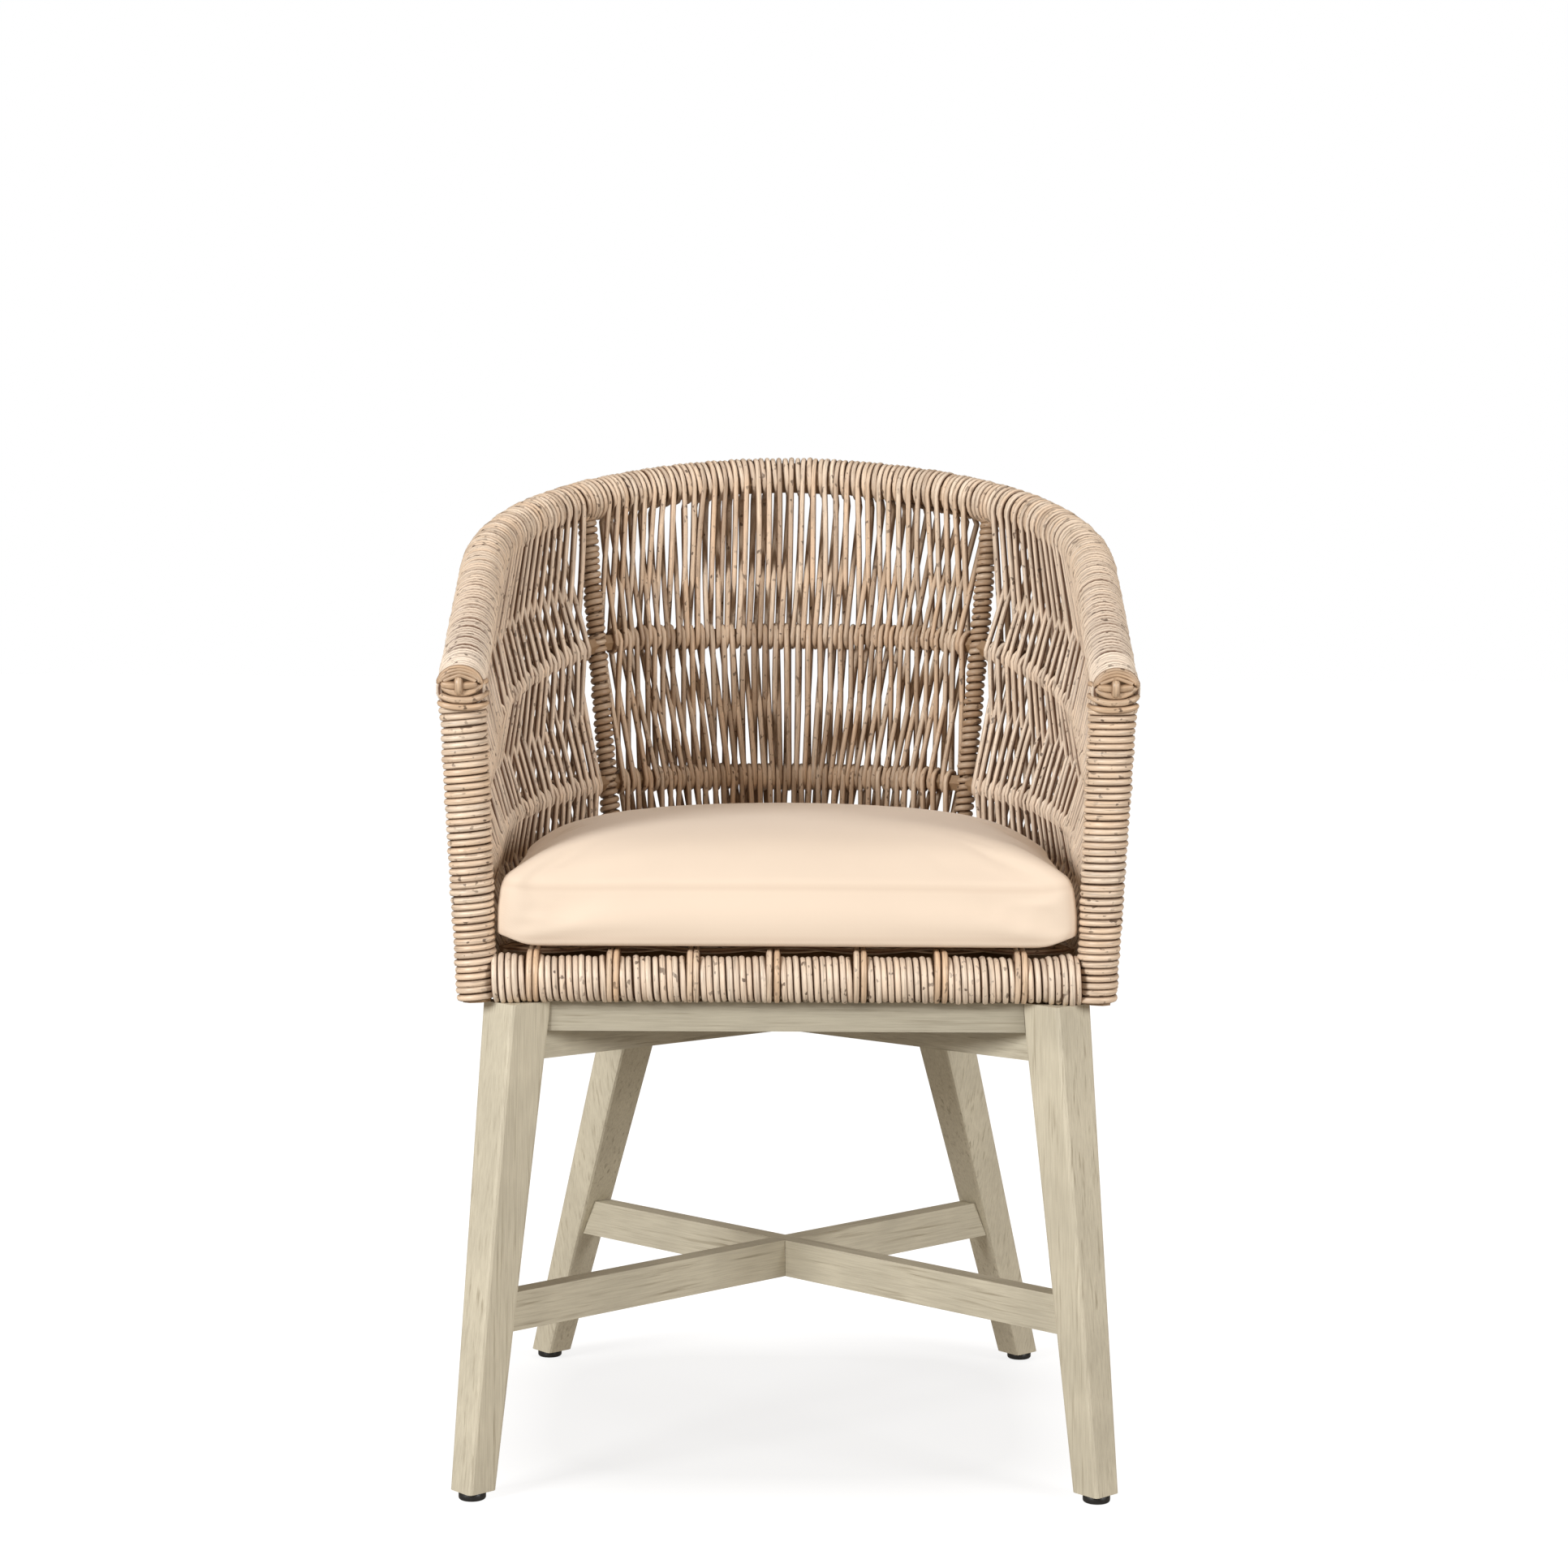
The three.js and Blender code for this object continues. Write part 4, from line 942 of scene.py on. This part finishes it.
class TUBCHAIR_OT_cushion(bpy.types.Operator):
    """Fill the loose seat cushion and sew its seams"""

    bl_idname = "tubchair.cushion"
    bl_label = "Cushion"
    cloth = {
        "quality": 6,
        "mass": 0.3,
        "tension_stiffness": 40,
        "compression_stiffness": 40,
        "shear_stiffness": 20,
        "bending_stiffness": 1.5,
        "use_pressure": True,
        "uniform_pressure_force": 4,
        "vertex_group_mass": "pin",
    }
    # Rings under the cover and over its crown, as shares of the way out from the middle
    shares_under = (0.004, 0.2, 0.4, 0.6, 0.75, 0.86, 0.93)
    shares_over = (
        0.985, 0.97, 0.95, 0.92, 0.88, 0.83, 0.77, 0.7, 0.62,
        0.54, 0.45, 0.36, 0.27, 0.18, 0.1, 0.05, 0.004,
    )

    def execute(self, context):
        sizes, colours = context.scene.tub_chair_sizes, context.scene.tub_chair_colours
        columns = 216
        rings, seams, pinned = self.rings(columns)
        verts = rings.reshape(-1, 3)
        fields = {"seam": np.zeros(len(verts))}
        quads, cloth = sheet_quads(len(rings), columns), cloth_material(colours)
        piece = mesh_piece(
            "cushion", verts, quads, fields, "cushion", ["seat_cushion"], cloth
        )
        self.fill(piece, verts, pinned * columns, sizes.cushion_swell)
        self.sew(piece, rings.shape, seams)
        return {"FINISHED"}

    def outline(self, columns):
        """Plan of the cushion at even steps: an ellipse behind, straight sides, round front corners."""
        low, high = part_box("seat_cushion")
        half, corner = high[0] - 0.0005, 0.017
        front, back = low[1] + 0.0005, high[1] - 0.0005
        arch = SHIFT_Y + ARCH_START
        angle = np.linspace(0, math.pi, 200)
        behind = np.stack([half * np.cos(angle), arch + (back - arch) * np.sin(angle)], -1)
        angle = np.linspace(math.pi, 1.5 * math.pi, 30)
        left = np.stack(
            [corner * (np.cos(angle) + 1) - half + 0.0012, corner * (np.sin(angle) + 1) + front], -1
        )
        right = left[::-1] * [-1, 1]
        loop = np.concatenate([behind, left, right, behind[:1]])
        run = np.concatenate([[0], np.cumsum(np.linalg.norm(np.diff(loop, axis=0), axis=1))])
        at = np.linspace(0, run[-1], columns + 1)[:-1]
        return np.stack([np.interp(at, run, loop[:, 0]), np.interp(at, run, loop[:, 1])], -1)

    def rings(self, columns):
        """Rings from the underside's middle out to the bottom edge, up the band and over the crown."""
        low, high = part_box("seat_cushion")
        plan = self.outline(columns)
        middle = np.array([0.0, (low[1] + high[1]) / 2])
        reach = plan - middle
        length = np.linalg.norm(reach, axis=1, keepdims=True)
        behind = np.clip(plan[:, 1:] / high[1], 0, 1)
        bottom, hem, seam_top = low[2] + 0.0004, low[2] + 0.0004 + 0.0064, low[2] + 0.0495
        crown = high[2] - seam_top - 0.0065
        corner = smooth((np.abs(plan[:, 0]) - 0.210) / 0.026) * smooth((low[1] + 0.06 - plan[:, 1]) / 0.05)
        corner_lift = 0.007
        rows, seams = [], {}

        def share_ring(share, z):
            lift = corner_lift * corner * share**8 * (z < seam_top)
            rows.append(np.column_stack([middle + reach * share, z + lift]))

        def edge_ring(inset, undercut, z):
            q = middle + reach * (1 - (inset + 0.012 * undercut * behind) / length)
            lift = corner_lift * corner * (1 - smooth((z - bottom) / 0.03))
            rows.append(np.column_stack([q, z + lift]))

        for share in self.shares_under:
            share_ring(share, bottom)
        edge_ring(0.0080, 1, bottom + 0.0003)
        edge_ring(0.0042, 1, bottom + 0.0016)
        edge_ring(0.0022, 1, bottom + 0.0036)
        seams["hem"] = len(rows)
        edge_ring(0.0014, 0.95, hem)
        pinned = len(rows)
        for t in np.linspace(0.1, 0.93, 9):
            inset = 0.0016 - 0.0008 * math.sin(math.pi * t)
            edge_ring(inset, 1 - t, hem + t * (seam_top - bottom - 0.0064))
        seams["top"] = len(rows)
        edge_ring(0.0020, 0, seam_top)
        for share in self.shares_over:
            share_ring(share, seam_top + crown * (1 - share**3) ** 0.6)
        return np.array(rows), seams, pinned

    def fill(self, piece, verts, pinned, swell):
        """Let cloth simulation puff the cover out, and cap how far each point may go."""
        group = piece.vertex_groups.new(name="pin")
        group.add(list(range(pinned)), 1.0, "REPLACE")
        cloth = piece.modifiers.new("cloth", "CLOTH")
        for key, value in self.cloth.items():
            setattr(cloth.settings, key, value)
        cloth.settings.effector_weights.gravity = 0
        cloth.collision_settings.use_collision = False
        scene = bpy.context.scene
        for step in range(1, 21):
            scene.frame_set(step)
        evaluated = piece.evaluated_get(bpy.context.evaluated_depsgraph_get())
        found = np.empty(len(verts) * 3, np.float32)
        evaluated.data.vertices.foreach_get("co", found)
        moved = found.reshape(-1, 3) - verts
        reach = np.linalg.norm(moved, axis=1, keepdims=True)
        held = verts + moved * np.minimum(1, swell * np.tanh(reach / swell) / np.maximum(reach, 1e-9))
        piece.modifiers.remove(cloth)
        piece.vertex_groups.remove(group)
        scene.frame_set(1)
        piece.data.vertices.foreach_set("co", held.astype(np.float32).ravel())
        piece.data.update()

    def sew(self, piece, shape, seams):
        """Draw the cover in along its seams, colour the stitch lines, close its middles and smooth it."""
        verts = np.empty(len(piece.data.vertices) * 3, np.float32)
        piece.data.vertices.foreach_get("co", verts)
        rings = verts.reshape(shape)
        inward = unit(rings.mean(axis=(0, 1)) * [1, 1, 0] - rings * [1, 1, 0])
        seam = np.zeros(shape[:2])
        for row in seams.values():
            rings[row] += inward[row] * 0.0003
            seam[row] = 1
        for row in (0, -1):
            middle = rings[row].mean(axis=0)
            rings[row] = middle + 0.04 * (rings[row] - middle)
        piece.data.vertices.foreach_set("co", rings.astype(np.float32).ravel())
        piece.data.attributes["seam"].data.foreach_set("value", seam.astype(np.float32).ravel())
        piece.data.update()
        smoothing = piece.modifiers.new("smooth_cloth", "SUBSURF")
        smoothing.levels = smoothing.render_levels = 1


class TUBCHAIR_OT_base(bpy.types.Operator):
    """Finish the painted base, the poles and screws, and turn the glides"""

    bl_idname = "tubchair.base"
    bl_label = "Base"

    def execute(self, context):
        sizes, colours = context.scene.tub_chair_sizes, context.scene.tub_chair_colours
        names = sorted(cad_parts)
        legs = [n for n in names if n.startswith("leg_")]
        dress(legs, wood_material("wood_upright", colours, 0.73, True), sizes.edge_softness)
        # Boards with the turn of their grain and their shade; for the aprons across that shade is painted
        # shade from the seat above them
        runs = (
            ("wood_run_a", -0.733, 0.92, ("lower_stretcher_a", "upper_cross_rail_a")),
            ("wood_run_b", 0.733, 0.92, ("lower_stretcher_b", "upper_cross_rail_b")),
            ("wood_run_side_left", -1.26, 0.92, ("apron_left",)),
            ("wood_run_side_right", 1.26, 0.92, ("apron_right",)),
            ("wood_run_across", 0.0, 0.68, ("apron_front", "apron_back")),
        )
        for name, turn, shade, boards in runs:
            dress(boards, wood_material(name, colours, turn, False, shade), sizes.edge_softness)
        poles = [n for n in names if n.endswith("_pole") or "hoop" in n or "bearer" in n]
        poles += ["front_post_left", "front_post_right", "front_seat_rail", "seat_ring"]
        poles += ["back_upright_left", "back_upright_right"]
        dress(poles, pole_material(colours))
        screws = [n for n in names if "screw" in n]
        dress(screws, plain_material("screw_steel", colours.steel, 0.35, 1.0))
        self.glides(plain_material("glide_black", colours.glide, 0.42))
        return {"FINISHED"}

    def glides(self, black):
        """Turned glides: a domed rim, a flat sole and the nail in the foot."""
        for name in ("front_left", "front_right", "rear_left", "rear_right"):
            low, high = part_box("glide_" + name)
            x, y = (low[0] + high[0]) / 2, (low[1] + high[1]) / 2
            wide = (high[0] - low[0]) / 2
            bend, dome, tip, nail = np.linspace(0, math.pi / 2, 7), 0.0022, 0.00005, 0.0018
            dome_r = wide - dome + dome * np.sin(bend)
            dome_z = dome - dome * np.cos(bend)
            r = np.concatenate([[tip, wide * 0.5], dome_r, [wide, wide - 0.0006, nail, nail, tip]])
            z = np.concatenate([[0, 0], dome_z, [0.0064, 0.0070, 0.0070, 0.0200, 0.0210]])
            angle = np.arange(48) * 2 * math.pi / 48
            round_x, round_y = x + r[:, None] * np.cos(angle), y + r[:, None] * np.sin(angle)
            verts = spread(round_x, round_y, z[:, None]).reshape(-1, 3)
            quads, replaced = sheet_quads(len(r), 48), ["glide_" + name]
            piece = mesh_piece("turned_glide_" + name, verts, quads, {}, "chair", replaced, black)
            piece.data.set_sharp_from_angle(angle=math.radians(50))


class TUBCHAIR_OT_stage(bpy.types.Operator):
    """Set up the floor, the soft lamps, the white surround and the camera"""

    bl_idname = "tubchair.stage"
    bl_label = "Stage"

    def execute(self, context):
        scene = context.scene
        scene.view_settings.view_transform = "Standard"
        self.floor()
        self.surround(scene)
        self.lamp("lamp_left", (-2.5, -2.6, 1.8), 1.2, 112.0)
        self.lamp("lamp_right", (2.8, -2.4, 1.6), 1.2, 68.0)
        self.lamp("lamp_top", (0.0, 0.3, 3.0), 1.5, 14.0)
        camera = linked("camera", bpy.data.cameras.new("camera"))
        camera.data.sensor_width = 36.0
        camera.data.lens = 36.0 * LENS_PIXELS / FRAME_PIXELS
        camera.data.clip_end = 50
        tilt = Matrix.Rotation(CAMERA_TILT, 4, "X")
        roll = Matrix.Rotation(CAMERA_ROLL, 4, "Z")
        camera.matrix_world = Matrix.Translation(CAMERA_PLACE) @ tilt @ roll
        scene.camera = camera
        return {"FINISHED"}

    def floor(self):
        """A pale floor: white to the camera away from the object, with a painted shadow under it where its
        glow dims, over the lamps' real shadow, and a faint warm glow to other rays, painted light from
        below.
        """
        size = 14.0
        verts = np.array([[-size, -size, 0], [size, -size, 0], [size, size, 0], [-size, size, 0]])
        mesh = bpy.data.meshes.new("floor")
        mesh.from_pydata(verts.tolist(), [], [(0, 1, 2, 3)])
        floor = linked("floor", mesh)
        floor.location.z = -0.0002
        n = Nodes("floor")
        n.finish((0.22, 0.22, 0.22), 0.9, specular=0.0)
        fourth = [n.maths("POWER", n.maths("ABSOLUTE", part), 4.0) for part in n.parts(n.place())[:2]]
        away = n.maths("POWER", n.maths("ADD", *fourth), 0.25)
        # Painted shadow: the glow that the camera sees dims under the chair
        glow_with_painted_shadow = n.ramp(away, (0.2, 0.76), (0.36, 1.0))
        camera_ray = n.add("ShaderNodeLightPath").outputs["Is Camera Ray"]
        # To other rays the floor glows faintly warm: painted light on the chair from below
        n.put(n.mix(camera_ray, (1.0, 0.86, 0.7), (1, 1, 1)), n.shader.inputs["Emission Color"])
        n.put(n.mix(camera_ray, (0.25, 0.25, 0.25), glow_with_painted_shadow), n.shader.inputs["Emission Strength"])
        mesh.materials.append(n.material)

    def surround(self, scene):
        """White behind the object, and a softer white for its light."""
        world = bpy.data.worlds.new("surround")
        world.use_nodes = True
        scene.world = world
        tree = world.node_tree
        rays = tree.nodes.new("ShaderNodeLightPath")
        mix = tree.nodes.new("ShaderNodeMix")
        mix.data_type = "RGBA"
        mix.inputs["A"].default_value = (0.22, 0.17, 0.125, 1)
        mix.inputs["B"].default_value = (1, 1, 1, 1)
        tree.links.new(rays.outputs["Is Camera Ray"], mix.inputs["Factor"])
        tree.links.new(mix.outputs["Result"], tree.nodes["Background"].inputs["Color"])

    def lamp(self, name, place, size, power):
        """A square soft lamp aimed at the seat."""
        lamp = bpy.data.lights.new(name, "AREA")
        lamp.size = size
        lamp.energy = power
        holder = linked(name, lamp)
        holder.location = place
        aim = Vector((0, 0, 0.5)) - Vector(place)
        holder.rotation_euler = aim.to_track_quat("-Z", "Y").to_euler()


STEPS = (
    TUBCHAIR_OT_stage,
    TUBCHAIR_OT_base,
    TUBCHAIR_OT_weave,
    TUBCHAIR_OT_wraps,
    TUBCHAIR_OT_arm_ends,
    TUBCHAIR_OT_seat,
    TUBCHAIR_OT_cushion,
)


class TUBCHAIR_PT_panel(bpy.types.Panel):
    """Sizes, colours and build steps of the chair"""

    bl_idname = "TUBCHAIR_PT_panel"
    bl_label = "Tub Chair"
    bl_space_type = "VIEW_3D"
    bl_region_type = "UI"
    bl_category = "Tub Chair"

    def draw(self, context):
        for group in (context.scene.tub_chair_sizes, context.scene.tub_chair_colours):
            box = self.layout.box()
            for key in group.bl_rna.properties.keys():
                if key not in ("rna_type", "name"):
                    box.prop(group, key)
        for step in STEPS:
            self.layout.operator(step.bl_idname)


CLASSES = (TubChairSizes, TubChairColours, *STEPS, TUBCHAIR_PT_panel)


def register():
    for item in CLASSES:
        bpy.utils.register_class(item)
    bpy.types.Scene.tub_chair_sizes = bpy.props.PointerProperty(type=TubChairSizes)
    bpy.types.Scene.tub_chair_colours = bpy.props.PointerProperty(type=TubChairColours)


def unregister():
    del bpy.types.Scene.tub_chair_colours
    del bpy.types.Scene.tub_chair_sizes
    for item in reversed(CLASSES):
        bpy.utils.unregister_class(item)


def main():
    register()
    bpy.ops.tubchair.stage()
    bpy.ops.tubchair.base()
    bpy.ops.tubchair.weave()
    bpy.ops.tubchair.wraps()
    bpy.ops.tubchair.arm_ends()
    bpy.ops.tubchair.seat()
    bpy.ops.tubchair.cushion()


if __name__ == "__main__":
    main()
